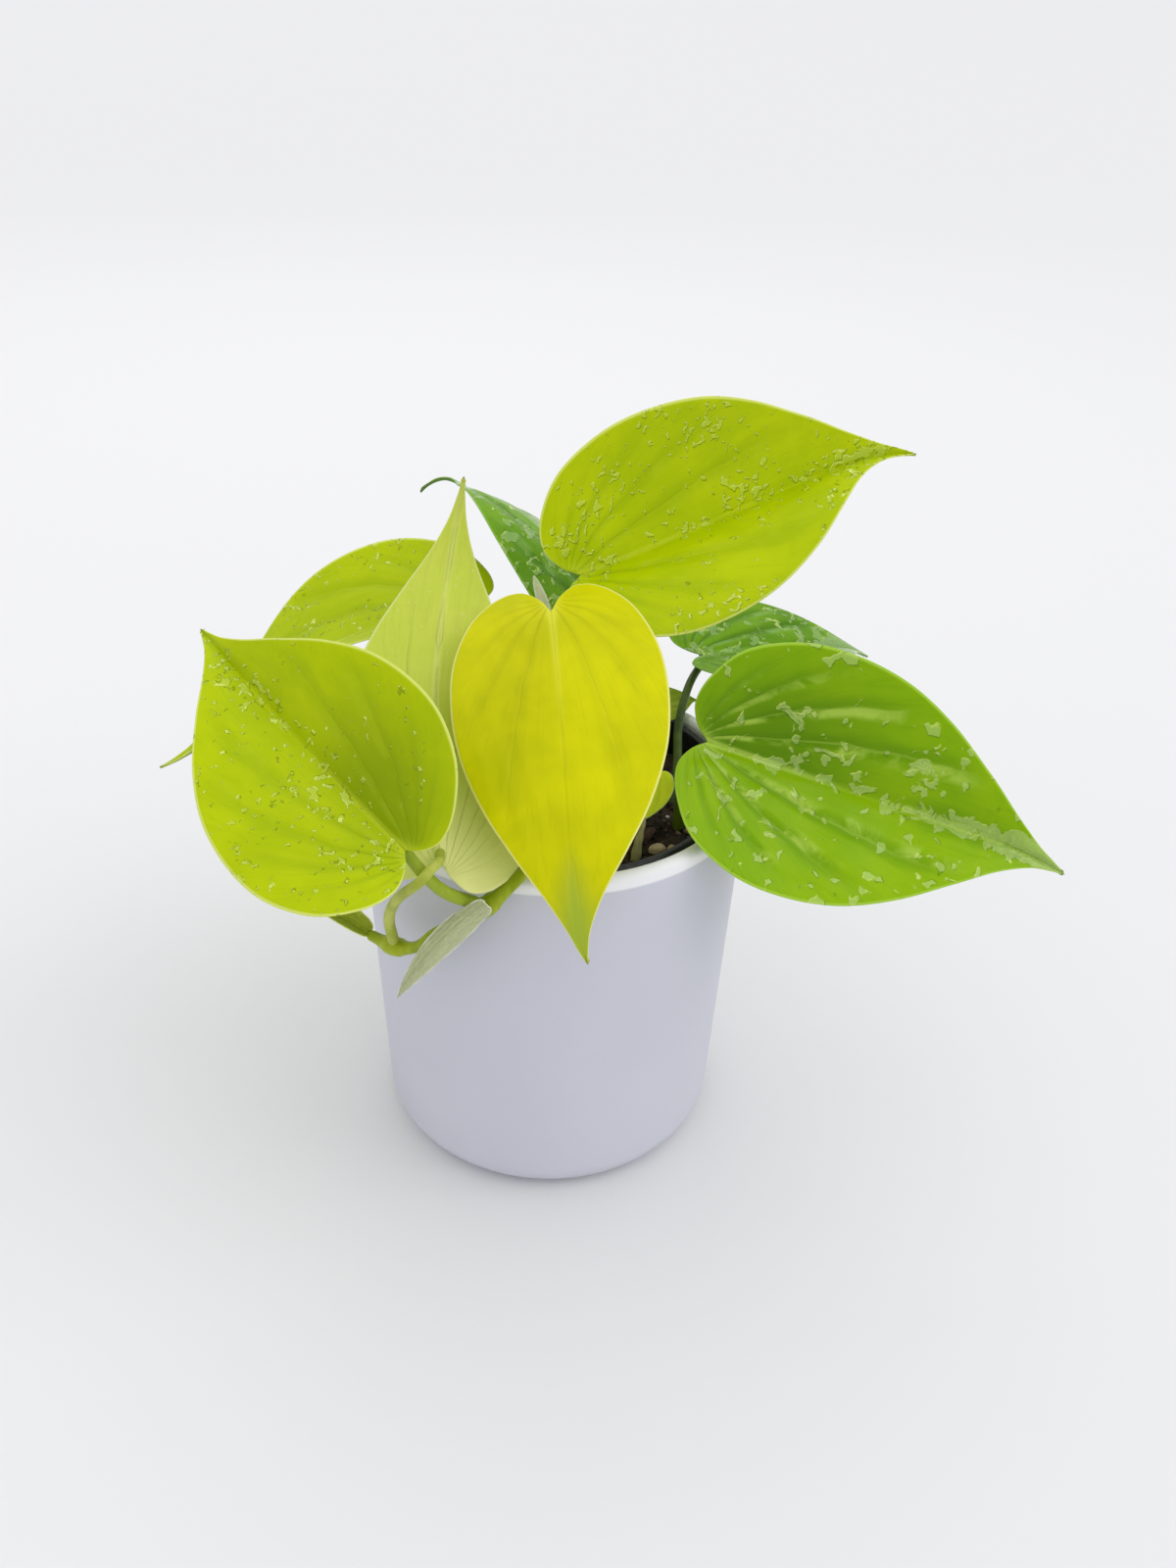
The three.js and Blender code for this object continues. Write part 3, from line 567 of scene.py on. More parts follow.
class Nodes:
    """Short forms for building a node material."""

    def __init__(self, name):
        self.material = bpy.data.materials.new(name)
        self.material.use_nodes = True
        self.tree = self.material.node_tree
        self.tree.nodes.clear()
        out = self.new("ShaderNodeOutputMaterial")
        self.shader = self.new("ShaderNodeBsdfPrincipled")
        self.tree.links.new(self.shader.outputs[0], out.inputs["Surface"])

    def new(self, kind, **settings):
        node = self.tree.nodes.new(kind)
        for key, value in settings.items():
            setattr(node, key, value)
        return node

    def put(self, socket, value):
        if isinstance(value, bpy.types.NodeSocket):
            self.tree.links.new(value, socket)
        elif socket.type == "RGBA" and len(value) == 3:
            socket.default_value = (*value, 1)
        else:
            socket.default_value = value

    def fill(self, node, *values):
        """Puts the values in a node's inputs in order, and gives its first output."""
        for socket, value in zip(node.inputs, values):
            self.put(socket, value)
        return node.outputs[0]

    def set(self, **values):
        """Puts the values in the shader's inputs, whose names take _ for a space."""
        for key, value in values.items():
            self.put(self.shader.inputs[key.replace("_", " ")], value)

    def math(self, operation, *values, clamp=False):
        return self.fill(self.new("ShaderNodeMath", operation=operation, use_clamp=clamp), *values)

    def vector(self, operation, *values):
        return self.fill(self.new("ShaderNodeVectorMath", operation=operation), *values)

    def times(self, a, b, clamp=False):
        return self.math("MULTIPLY", a, b, clamp=clamp)

    def plus(self, a, b):
        return self.math("ADD", a, b)

    def minus(self, a, b):
        return self.math("SUBTRACT", a, b)

    def line(self, value, slope, start):
        return self.math("MULTIPLY_ADD", value, slope, start)

    def off_middle(self, value, width):
        """How far a map's value lies from its middle, on a map of this width."""
        return self.times(self.math("ABSOLUTE", self.minus(value, 0.5)), width)

    def step(self, value, low, high, to_low=0.0, to_high=1.0):
        node = self.new("ShaderNodeMapRange", interpolation_type="SMOOTHSTEP")
        return self.fill(node, value, low, high, to_low, to_high)

    def mix(self, share, a, b):
        node = self.new("ShaderNodeMix", data_type="RGBA")
        self.put(node.inputs[0], share)
        self.put(node.inputs[6], a)
        self.put(node.inputs[7], b)
        return node.outputs[2]

    def coords(self):
        return self.new("ShaderNodeTexCoord").outputs["Object"]

    def noise(self, scale, detail=2.0, rough=0.5, warp=0.0, vector=None, colour=False):
        node = self.new("ShaderNodeTexNoise")
        self.put(node.inputs["Vector"], vector or self.coords())
        settings = {"Scale": scale, "Detail": detail, "Roughness": rough, "Distortion": warp}
        for key, value in settings.items():
            node.inputs[key].default_value = value
        return node.outputs["Color" if colour else "Fac"]

    def cells(self, scale):
        """Distance from the middle of the nearest of many scattered cells."""
        node = self.new("ShaderNodeTexVoronoi")
        self.put(node.inputs["Vector"], self.coords())
        node.inputs["Scale"].default_value = scale
        return node.outputs["Distance"]

    def split(self, vector):
        return self.fill(self.new("ShaderNodeSeparateXYZ"), vector).node.outputs

    def pair(self, x, y):
        return self.fill(self.new("ShaderNodeCombineXYZ"), x, y)

    def uv(self, label):
        return self.split(self.new("ShaderNodeUVMap", uv_map=label).outputs[0])[:2]

    def bump(self, height, distance, over=None):
        node = self.new("ShaderNodeBump")
        node.inputs["Distance"].default_value = distance
        self.put(node.inputs["Height"], height)
        if over is not None:
            self.put(node.inputs["Normal"], over)
        return node.outputs[0]


class LeafNodes(Nodes):
    """A leaf's material, with the place on the blade that its UV maps give.

    share runs from the midrib to the edge, reach is the distance from the midrib in millimetres,
    flow is the number of the side vein, and veins is the same with a little wavering.
    """

    def __init__(self, name, wavering):
        super().__init__(name)
        self.across, self.along = self.uv("veins")
        self.share = self.off_middle(self.across, 2.0)
        self.reach = self.off_middle(self.uv("place")[0], MAP_WIDTH)
        self.flow = self.times(self.uv("flow")[0], MAP_VEINS)
        self.veins = self.line(self.minus(self.noise(60, 2), 0.5), wavering, self.flow)

    def strokes(self, outward, veins):
        """Fine strokes that run out with the side veins."""
        place = self.pair(self.times(self.share, outward), self.times(self.flow, veins))
        return self.noise(1, 3, 0.6, 0.1, place)

    def by_half(self, left, right):
        """One value on the blade's left half and another on its right half."""
        return self.line(self.step(self.across, 0.49, 0.51), right - left, left)


def leaf_look(finish, leaf=None):
    """A finish with what sets the leaf apart, its colours made linear and tinted."""
    look = {**PLAIN_LEAF, **FINISHES[finish], **LEAF_LOOKS.get(leaf, {})}
    tint = bpy.context.scene.plant.leaf_tint
    for key, value in look.items():
        if np.size(value) == 3:
            look[key] = tuple(c * t for c, t in zip(linear(*value), tint))
    return look


def leaf_ground(n, look, near):
    """Broad soft blotches, fine strokes, painted shade in the sunken veins and painted shade on one half.
    """
    shade = look["shade"]
    colour = n.mix(n.step(n.noise(48, 3, 0.55, 0.3), 0.35, 0.68), look["main"], look["second"])
    colour = n.mix(n.step(n.strokes(5.0, 11.0), 0.5, 0.72, 0, 0.22), colour, shade)
    # Painted shade in the sunken veins, away from the midrib and the edge
    inner = n.times(n.step(n.share, 0.02, 0.2), n.step(n.share, 0.6, 0.97, 1, 0))
    colour = n.mix(n.times(n.step(near, 0.32, 0.05, 0, look["trough"]), inner), colour, shade)
    # Painted shade over one half, as much as dim says, strongest near the stalk and the midrib
    deep = n.times(n.step(n.along, 0.35, 0.65, 1, 0.2), n.step(n.share, 0.35, 1.0, 1, 0.25))
    return n.mix(n.times(n.by_half(*look["dim"]), deep), colour, toned(shade, 0.8))


def leaf_veins(n, look, colour, lines):
    """Thin side veins, the midrib's pale band, painted crease shade and painted highlights on vein slopes.
    """
    vein = look["vein"]
    colour = n.mix(n.times(lines, look["lines"]), colour, vein)
    band = n.times(n.step(n.reach, 0.4, 1.5, 1, 0), n.step(n.along, 0.2, 0.6, look["band"], 0))
    colour = n.mix(band, colour, vein)
    # Painted shade along the crease over the midrib, out to the tip
    if look["crease"]:
        crease = n.times(n.step(n.reach, 0.1, 0.6, 1, 0), n.step(n.along, 0.42, 0.6, 0, look["crease"]))
        colour = n.mix(crease, colour, toned(look["main"], 0.5))
    if look["painted_sheen"]:
        # Painted highlight: the slope of each sunken vein that faces the midrib is painted pale, as a
        # reflection
        turn = n.math("FRACT", n.veins)
        slope = n.times(n.step(turn, 0.6, 0.82), n.step(turn, 0.95, 1.0, 1, 0))
        ragged = n.step(n.noise(75, 4, 0.62, 0.8), 0.42, 0.6)
        window = n.times(n.step(n.share, 0.05, 0.2), n.step(n.share, 0.6, 0.95, 1, 0))
        few = n.times(window, n.step(n.flow, 2.4, 3.4, 1, 0.3))
        colour = n.mix(n.times(n.times(slope, few), n.times(ragged, look["painted_sheen"])), colour, vein)
    return colour


def leaf_ends(n, look, colour):
    """The tail, the pale mouth of the stalk, the thin pale edge painted as a rim highlight, and the dark
    point.
    """
    if "tail" in look:
        start = look["tail_from"]
        colour = n.mix(n.step(n.along, start, start + TAIL_BLEND, 0, 0.85), colour, look["tail"])
    mouth = n.times(n.step(n.reach, 0.8, 4.5, 1, 0), n.step(n.along, 0.06, 0.2, 0.5, 0))
    colour = n.mix(mouth, colour, look["vein"])
    # The thin pale edge: a painted highlight along the blade's rounded rim
    colour = n.mix(n.step(n.share, 0.976, 0.992, 0, 0.85), colour, look["edge"])
    return n.mix(n.step(n.along, 0.965, 0.99, 0, 0.6), colour, toned(look["shade"], 0.4))


def water(n, vector, look, pool):
    """Height of the water on a wet leaf: small drops and streaks in clusters, more where it pools."""
    scale = look["wet_scale"]
    push = n.noise(scale * 0.9, 2, vector=vector, colour=True)
    warped = n.vector("MULTIPLY_ADD", push, DROP_WARP, vector)
    level = n.plus(n.noise(scale, 1.5, 0.5, 0.25, vector=warped), pool)
    level = n.plus(level, n.times(n.noise(52, 2, 0.55, vector=vector), 0.55))
    drops = n.step(level, *(edge - WETTER * look["wet"] for edge in DROP_EDGE))
    if not look["film"]:
        return drops
    wide = n.line(pool, 2.2, n.noise(scale * 0.42, 3, 0.6, 0.8, vector=warped))
    film = n.step(wide, *(edge - WETTER * look["film"] for edge in FILM_EDGE))
    rings = n.step(n.math("PINGPONG", n.times(wide, 30.0), 0.5), 0.05, 0.2, 0.75, 1)
    return n.math("MAXIMUM", n.times(drops, 0.8), n.times(film, rings))


def leaf_water(n, look, colour, normal):
    """Lays the water on a wet leaf: its painted reflection, painted highlight and painted shade, relief and
    coat.
    """
    middle = n.step(n.reach, 1.0, 4.5, 0.035, 0)
    tip = n.times(n.step(n.along, 0.66, 0.8), n.step(n.reach, 2.0, 7.0, 0.1, 0))
    pool = n.minus(n.plus(middle, tip), n.by_half(*look["dry"]))
    place = n.coords()
    here = water(n, place, look, pool)
    rise = n.minus(here, water(n, n.vector("ADD", place, TOWARDS_LIGHT), look, pool))
    # Painted reflection where the water lies, stronger where there is film
    colour = n.mix(n.times(here, 0.15 + 0.6 * look["film"]), colour, look["painted_water_shine"])
    # Painted highlight on each drop's side that faces TOWARDS_LIGHT, painted shade on its other side
    colour = n.mix(n.times(rise, 0.7, clamp=True), colour, linear(*LIT_WATER))
    colour = n.mix(n.times(rise, -0.6, clamp=True), colour, toned(look["shade"], 0.6))
    normal = n.bump(here, DROP_HEIGHT, normal)
    n.set(Coat_Weight=n.line(here, 0.75, 0.15 * look["film"]), Coat_Normal=normal, Coat_Roughness=0.08)
    return colour, normal


def leaf_top(leaf, finish):
    look = leaf_look(finish, leaf)
    n = LeafNodes(leaf.replace("_", " ").title(), 0.35)
    near = n.math("PINGPONG", n.veins, 0.5)
    lines = n.times(n.step(near, 0.05, 0.01), n.step(n.share, 0.3, 0.9, 1, 0))
    colour = leaf_ground(n, look, near)
    colour = leaf_veins(n, look, colour, lines)
    colour = leaf_ends(n, look, colour)
    normal = n.bump(n.line(lines, -0.5, n.times(n.noise(420, 3, 0.6), 0.3)), 0.0002)
    roughness = n.line(n.noise(240, 2), 0.16, look["rough"] - 0.08)
    if look["wet"]:
        colour, normal = leaf_water(n, look, colour, normal)
    n.set(Base_Color=colour, Roughness=roughness, Normal=normal, Specular_IOR_Level=0.07)
    return n.material


def leaf_under(name, finish):
    look = leaf_look(finish)
    under, vein, dim = look["under"], look["vein"], toned(look["under"], 0.8)
    n = LeafNodes(name, 0.2)
    colour = n.mix(n.step(n.noise(60, 3, 0.6, 0.5), 0.35, 0.7), under, n.mix(0.3, under, look["main"]))
    colour = n.mix(n.step(n.strokes(4.0, 14.0), 0.48, 0.7, 0, 0.4), colour, dim)
    near = n.math("PINGPONG", n.times(n.veins, 2.0), 0.5)
    lines = n.times(n.step(near, 0.07, 0.02), n.step(n.share, 0.2, 0.95, 1, 0))
    colour = n.mix(n.times(lines, 0.6), colour, dim)
    colour = n.mix(n.step(n.reach, 0.4, 1.4, 0.16, 0), colour, vein)
    # The thin pale edge: a painted highlight along the blade's rounded rim
    colour = n.mix(n.step(n.share, 0.97, 0.99, 0, 0.85), colour, look["edge"])
    colour = n.mix(n.step(n.cells(330), 0.05, 0.12, 0.4, 0), colour, linear(*UNDER_SPECKS))
    # Paler towards the stalk below: partly the underside's own colour, partly painted light lifting lower
    # lobes in shade
    colour = n.mix(n.step(n.along, 0.15, 0.5, 0.75, 0), colour, vein)
    normal = n.bump(n.line(lines, 0.8, n.times(n.noise(500, 3), 0.5)), 0.00025)
    n.set(Base_Color=colour, Roughness=0.58, Normal=normal, Specular_IOR_Level=0.15)
    return n.material


def stalk_finish(name, main, second, rough=0.42):
    n = Nodes(name)
    streak = n.noise(160, 3, 0.55, 0.3, n.vector("MULTIPLY", n.coords(), (1, 1, 0.22)))
    colour = n.mix(n.step(streak, 0.35, 0.68), linear(*main), linear(*second))
    colour = n.mix(n.step(n.cells(700), 0.06, 0.16, 0.5, 0), colour, toned(linear(*second), 1.5))
    n.set(Base_Color=colour, Roughness=rough, Normal=n.bump(streak, 0.0003), Specular_IOR_Level=0.2)
    return n.material


def sheath_finish(name, main, pale, edge):
    n = Nodes(name)
    across, along = n.uv("veins")
    fibres = n.noise(60, 3, 0.6, 0.2, n.pair(n.times(across, 3.0), n.times(along, 0.25)))
    colour = n.mix(n.step(fibres, 0.35, 0.65), linear(*main), linear(*pale))
    share = n.off_middle(across, 2.0)
    colour = n.mix(n.step(share, 0.8, 0.98, 0, 0.9), colour, linear(*edge))
    n.set(Base_Color=colour, Roughness=0.45, Normal=n.bump(fibres, 0.0004))
    return n.material


def ceramic_finish(glaze, clouds):
    """A faintly cloudy glaze with a painted highlight on its lip and a few small pits."""
    n = Nodes("White Ceramic")
    cloud = n.noise(14, 3, 0.5)
    colour = n.mix(n.step(cloud, 0.3, 0.7), clouds, glaze)
    height = n.split(n.coords())[2]
    # A painted highlight on the lip that faces up
    colour = n.mix(n.step(height, *PAINTED_LIP_LIGHT), colour, linear(244, 244, 247))
    pits = n.step(n.cells(260), 0.02, 0.05, 1, 0)
    colour = n.mix(n.times(pits, 0.3), colour, linear(150, 150, 158))
    orange_peel = n.noise(900, 2, 0.5)
    n.set(Base_Color=colour, Roughness=n.line(cloud, 0.12, 0.42), Normal=n.bump(orange_peel, 0.00003))
    return n.material


def plastic_finish():
    n = Nodes("Black Plastic")
    grain = n.noise(600, 4, 0.65)
    dust = n.step(n.noise(900, 3, 0.7), 0.62, 0.72)
    colour = n.mix(n.times(dust, 0.5), linear(16, 16, 17), linear(120, 112, 100))
    n.set(Base_Color=colour, Roughness=n.line(grain, 0.3, 0.3), Normal=n.bump(grain, 0.0001))
    return n.material


def soil_finish():
    n = Nodes("Potting Soil")
    lumps = n.noise(240, 6, 0.7, 0.5)
    colour = n.mix(n.step(lumps, 0.3, 0.7), linear(22, 16, 12), linear(72, 54, 38))
    fleck = n.step(n.cells(420), 0.1, 0.2, 1, 0)
    colour = n.mix(n.times(fleck, 0.5), colour, linear(150, 126, 92))
    n.set(Base_Color=colour, Roughness=0.9, Normal=n.bump(lumps, 0.0012))
    return n.material


def grain_finish(name, main, second, scale=500):
    n = Nodes(name)
    grain = n.noise(scale, 5, 0.65, 0.4)
    colour = n.mix(n.step(grain, 0.35, 0.65), linear(*main), linear(*second))
    n.set(Base_Color=colour, Roughness=0.75, Normal=n.bump(grain, 0.0004))
    return n.material


# Shared steps

def declare(obj, slot, *nodes):
    """The piece rides the root body and stands for the CAD nodes, which it hides. slot is not used."""
    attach(obj, "root")
    if nodes:
        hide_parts(*nodes)


def placed(name, data):
    """A new object in the scene."""
    obj = bpy.data.objects.new(name, data)
    bpy.context.scene.collection.objects.link(obj)
    return obj


def grown(name, path, radii, sides, material):
    """One tube as an object."""
    build = Build()
    build.tube(path, radii, 0, sides)
    return build.object(name, [material])


def ball(subdivisions):
    """A unit ball, as the only selected object."""
    bpy.ops.object.select_all(action="DESELECT")
    bpy.ops.mesh.primitive_ico_sphere_add(subdivisions=subdivisions, radius=1)
    return bpy.context.object


def select_only(obj):
    bpy.ops.object.select_all(action="DESELECT")
    obj.select_set(True)
    bpy.context.view_layer.objects.active = obj


def turned(name, profile, segments, material):
    """A closed profile of (radius, height) turned about the vertical axis."""
    mesh = bpy.data.meshes.new(name)
    points = [(r * MM, 0, z * MM) for r, z in profile]
    mesh.from_pydata(points, [(i, i + 1) for i in range(len(points) - 1)], [])
    obj = placed(name, mesh)
    select_only(obj)
    bpy.ops.object.modifier_add(type="SCREW")
    screw = obj.modifiers[-1]
    screw.steps = screw.render_steps = segments
    screw.use_merge_vertices = True
    screw.merge_threshold = 1e-6
    bpy.ops.object.modifier_apply(modifier=screw.name)
    bpy.ops.object.mode_set(mode="EDIT")
    bpy.ops.mesh.select_all(action="SELECT")
    bpy.ops.mesh.remove_doubles(threshold=2e-6)
    bpy.ops.mesh.normals_make_consistent(inside=False)
    bpy.ops.object.mode_set(mode="OBJECT")
    bpy.ops.object.shade_smooth_by_angle(angle=math.radians(40))
    obj.data.materials.append(material)
    return obj


def arc(centre_r, centre_z, radius, start, end, steps):
    """Points of a profile's round, from one angle in degrees to another."""
    angles = np.radians(np.linspace(start, end, steps + 1))
    return [(centre_r + radius * math.cos(a), centre_z + radius * math.sin(a)) for a in angles]


def soil_top(x, y):
    """Height of the soil at a place."""
    lumps = math.sin(x * 0.31 + 1.2) * math.cos(y * 0.27) + 0.5 * math.sin(x * 0.63 - y * 0.55)
    return SOIL_LEVEL + SOIL_BUMP * lumps


# Settings, shown in the sidebar

class PlantSettings(bpy.types.PropertyGroup):
    pot_height: bpy.props.FloatProperty(
        name="Pot Height", description="Height of the cover pot", default=0.118, unit="LENGTH")
    pot_top_radius: bpy.props.FloatProperty(
        name="Pot Top Radius", description="Outer radius at the cover pot's rim", default=0.0558,
        unit="LENGTH")
    pot_foot_radius: bpy.props.FloatProperty(
        name="Pot Foot Radius", description="Outer radius above the foot's round", default=0.052,
        unit="LENGTH")
    pot_wall: bpy.props.FloatProperty(
        name="Pot Wall", description="Thickness of the cover pot's wall", default=0.0042, unit="LENGTH")
    glaze: bpy.props.FloatVectorProperty(
        name="Glaze", description="Colour of the cover pot's glaze", subtype="COLOR", size=3,
        default=linear(207, 208, 219), min=0, max=1)
    glaze_clouds: bpy.props.FloatVectorProperty(
        name="Glaze Clouds", description="Colour of the faint clouds in the glaze", subtype="COLOR", size=3,
        default=linear(202, 203, 215), min=0, max=1)
    leaf_size: bpy.props.FloatProperty(
        name="Leaf Size", description="Size of every blade, as a share of its own", subtype="FACTOR",
        default=1, min=0.5, max=1.5)
    leaf_tint: bpy.props.FloatVectorProperty(
        name="Leaf Tint", description="Colour that every blade's own colours are multiplied by",
        subtype="COLOR", size=3, default=(1, 1, 1), min=0, max=1)
    blade_thickness: bpy.props.FloatProperty(
        name="Blade Thickness", description="Thickness of a leaf away from its edge", default=0.0006,
        unit="LENGTH")
    vein_depth: bpy.props.FloatProperty(
        name="Vein Depth", description="How deep the veins lie in a leaf's top", default=0.0003,
        unit="LENGTH")
    crumbs: bpy.props.IntProperty(
        name="Soil Crumbs", description="Loose crumbs on the soil", default=900, min=0)
    floor_colour: bpy.props.FloatVectorProperty(
        name="Floor Colour", description="Colour of the floor", subtype="COLOR", size=3,
        default=linear(232, 232, 233), min=0, max=1)


class PLANT_OT_cover_pot(bpy.types.Operator):
    """Turn the white cover pot"""
    bl_idname = "plant.cover_pot"
    bl_label = "Cover Pot"

    def execute(self, context):
        s = context.scene.plant
        sizes = (s.pot_height, s.pot_top_radius, s.pot_foot_radius, s.pot_wall)
        height, top, foot, wall = (v / MM for v in sizes)
        foot_round, floor, inner_round, lip = 9.8, 6.0, 7.0, wall / 2
        hollow, side_steps = 0.5, 12
        profile = [(0, hollow), (foot - foot_round - 6, hollow), (foot - foot_round - 4.5, 0)]
        profile += arc(foot - foot_round, foot_round, foot_round, -90, 0, 20)
        profile += [(foot + (top - foot) * k / side_steps,
                     foot_round + (height - lip - foot_round) * k / side_steps)
                    for k in range(1, side_steps)]
        profile += arc(top - lip, height - lip, lip, 0, 180, 18)
        profile += arc(foot - wall - inner_round, floor + inner_round, inner_round, 0, -90, 10)
        profile += [(0, floor)]
        finish = ceramic_finish(tuple(s.glaze), tuple(s.glaze_clouds))
        pot = turned("Cover_Pot", profile, 192, finish)
        declare(pot, "white_ceramic", "cover_pot")
        return {"FINISHED"}


class PLANT_OT_nursery_pot(bpy.types.Operator):
    """Turn the black nursery pot and bore its drain holes"""
    bl_idname = "plant.nursery_pot"
    bl_label = "Nursery Pot"

    def execute(self, context):
        foot, top, rim = 6.3, 116.4, 50.3
        holes, hole_ring, hole_radius = 6, 26, 4
        profile = [(0, foot), (37, foot), (38, foot + 0.8), (48.96, top - 4.2), (49.3, top - 4)]
        profile += [(rim - 0.1, top - 4), (rim, top - 3.8), (rim, top - 0.9)]
        profile += arc(rim - 0.8, top - 0.8, 0.8, 0, 90, 5) + arc(48.7, top - 0.7, 0.7, 90, 180, 4)
        profile += [(47.7, top - 4.5), (37.4, foot + 1.6), (36.6, foot + 1), (0, foot + 1)]
        pot = turned("Nursery_Pot", profile, 160, plastic_finish())
        for k in range(holes):
            x, y = polar(hole_ring * MM, 2 * math.pi * k / holes)
            bpy.ops.object.select_all(action="DESELECT")
            bpy.ops.mesh.primitive_cylinder_add(
                vertices=32, radius=hole_radius * MM, depth=4 * MM, location=(x, y, foot * MM))
            cutter = context.object
            select_only(pot)
            bpy.ops.object.modifier_add(type="BOOLEAN")
            cut = pot.modifiers[-1]
            cut.object, cut.operation, cut.solver = cutter, "DIFFERENCE", "EXACT"
            bpy.ops.object.modifier_apply(modifier=cut.name)
            bpy.data.objects.remove(cutter)
        select_only(pot)
        bpy.ops.object.shade_smooth_by_angle(angle=math.radians(35))
        declare(pot, "black_plastic", "nursery_pot")
        return {"FINISHED"}


class PLANT_OT_soil(bpy.types.Operator):
    """Fill the nursery pot with soil, crumbs, stones and bark"""
    bl_idname = "plant.soil"
    bl_label = "Soil"

    def execute(self, context):
        rng = random.Random(SEED)
        floor, rings = 7.6, 64
        profile = [(0, floor), (36.4, floor), (46.6, 104.6), (SOIL_RADIUS, 106.2)]
        profile += [(SOIL_RADIUS * k / rings, SOIL_LEVEL) for k in range(rings, -1, -1)]
        soil = turned("Soil", profile, 200, soil_finish())
        for v in soil.data.vertices:
            x, y, z = (c / MM for c in v.co)
            if z < SOIL_LEVEL - 0.4:
                continue
            edge = min(max((SOIL_RADIUS - math.hypot(x, y)) / 2, 0), 1)
            rough = (math.sin(x * 1.9 + 2 * math.sin(y * 1.3)) * math.sin(y * 2.3 + 1.7 * math.sin(x * 1.1))
                     + 0.6 * math.sin(x * 4.7 + y * 3.1) * math.sin(y * 5.3 - x * 2.2))
            v.co.z = (soil_top(x, y) + edge * (0.45 * rough + rng.uniform(-0.22, 0.22))) * MM
        declare(soil, "potting_soil", "soil")
        self.crumbs(context, rng)
        for name, (finish, half, place, turn) in BEDDED.items():
            self.bedded(name, finish, half, place, turn)
        return {"FINISHED"}

    def crumbs(self, context, rng):
        """Loose crumbs, fibres and perlite in one mesh."""
        build = Build()
        pattern = ball(2)
        points = np.array([v.co[:] for v in pattern.data.vertices])
        faces = [list(p.vertices) for p in pattern.data.polygons]
        bpy.data.objects.remove(pattern)
        for i in range(context.scene.plant.crumbs):
            x, y = polar(CRUMB_SPREAD * math.sqrt(rng.random()), i * GOLDEN_ANGLE)
            size = rng.uniform(0.35, 1.25) ** 1.3
            bumps = np.sin(points[:, [1, 2, 0]] * rng.uniform(2, 5) + rng.uniform(0, 6))
            shape = points * (1 + 0.22 * bumps)
            shape = shape * [size * rng.uniform(0.8, 1.7), size, size * rng.uniform(0.5, 0.9)]
            a = rng.uniform(0, FULL_TURN)
            turn = np.array([[math.cos(a), -math.sin(a), 0], [math.sin(a), math.cos(a), 0], [0, 0, 1]])
            number = 0 if rng.random() < DARK_CRUMBS else (1 if rng.random() < GRIT_CRUMBS else 2)
            build.add(shape @ turn.T + [x, y, soil_top(x, y) + size * 0.3], faces, number)
        for _ in range(FIBRES):
            x, y = polar(FIBRE_SPREAD * math.sqrt(rng.random()), rng.uniform(0, FULL_TURN))
            heading, length = rng.uniform(0, FULL_TURN), rng.uniform(3, 8)
            corners = [(x + k * length / 3 * math.cos(heading + k * 0.25),
                        y + k * length / 3 * math.sin(heading + k * 0.25),
                        soil_top(x, y) + rng.uniform(0.3, 1.3)) for k in range(4)]
            corners = [c for c in corners if math.hypot(c[0], c[1]) < FIBRE_LIMIT]
            if len(corners) > 2:
                build.tube(smooth_path(corners, 10), [FIBRE_RADIUS] * 10, 3, 6)
        loose = build.object("Soil_Crumbs", [
            soil_finish(), grain_finish("Grit", (150, 130, 100), (112, 92, 66)),
            grain_finish("Perlite", (206, 200, 188), (170, 164, 150)),
            grain_finish("Fibre", (86, 62, 40), (58, 40, 26))])
        declare(loose, "potting_soil")

    def bedded(self, name, finish, half, place, turn):
        """A stone or a piece of bark that lies in the soil."""
        stone = ball(5)
        stone.name = stone.data.name = name.title()
        spin = Matrix.Rotation(math.radians(turn), 3, "Z")
        for v in stone.data.vertices:
            p = v.co.normalized()
            lump = 1 + 0.05 * math.sin(3 * p.x + 4 * p.y + place[0]) + 0.04 * math.sin(7 * p.z - 5 * p.x)
            q = spin @ Vector((p.x * half[0], p.y * half[1], p.z * half[2])) * lump
            v.co = (q + Vector(place)) * MM
        bpy.ops.object.shade_smooth()
        if finish == "stone":
            slot, look = "grit", grain_finish("Pebble " + name[-1], (214, 192, 158), (180, 154, 116))
        else:
            slot, look = "bark", grain_finish("Bark", (104, 72, 46), (58, 38, 24), 350)
        stone.data.materials.append(look)
        declare(stone, slot, name)


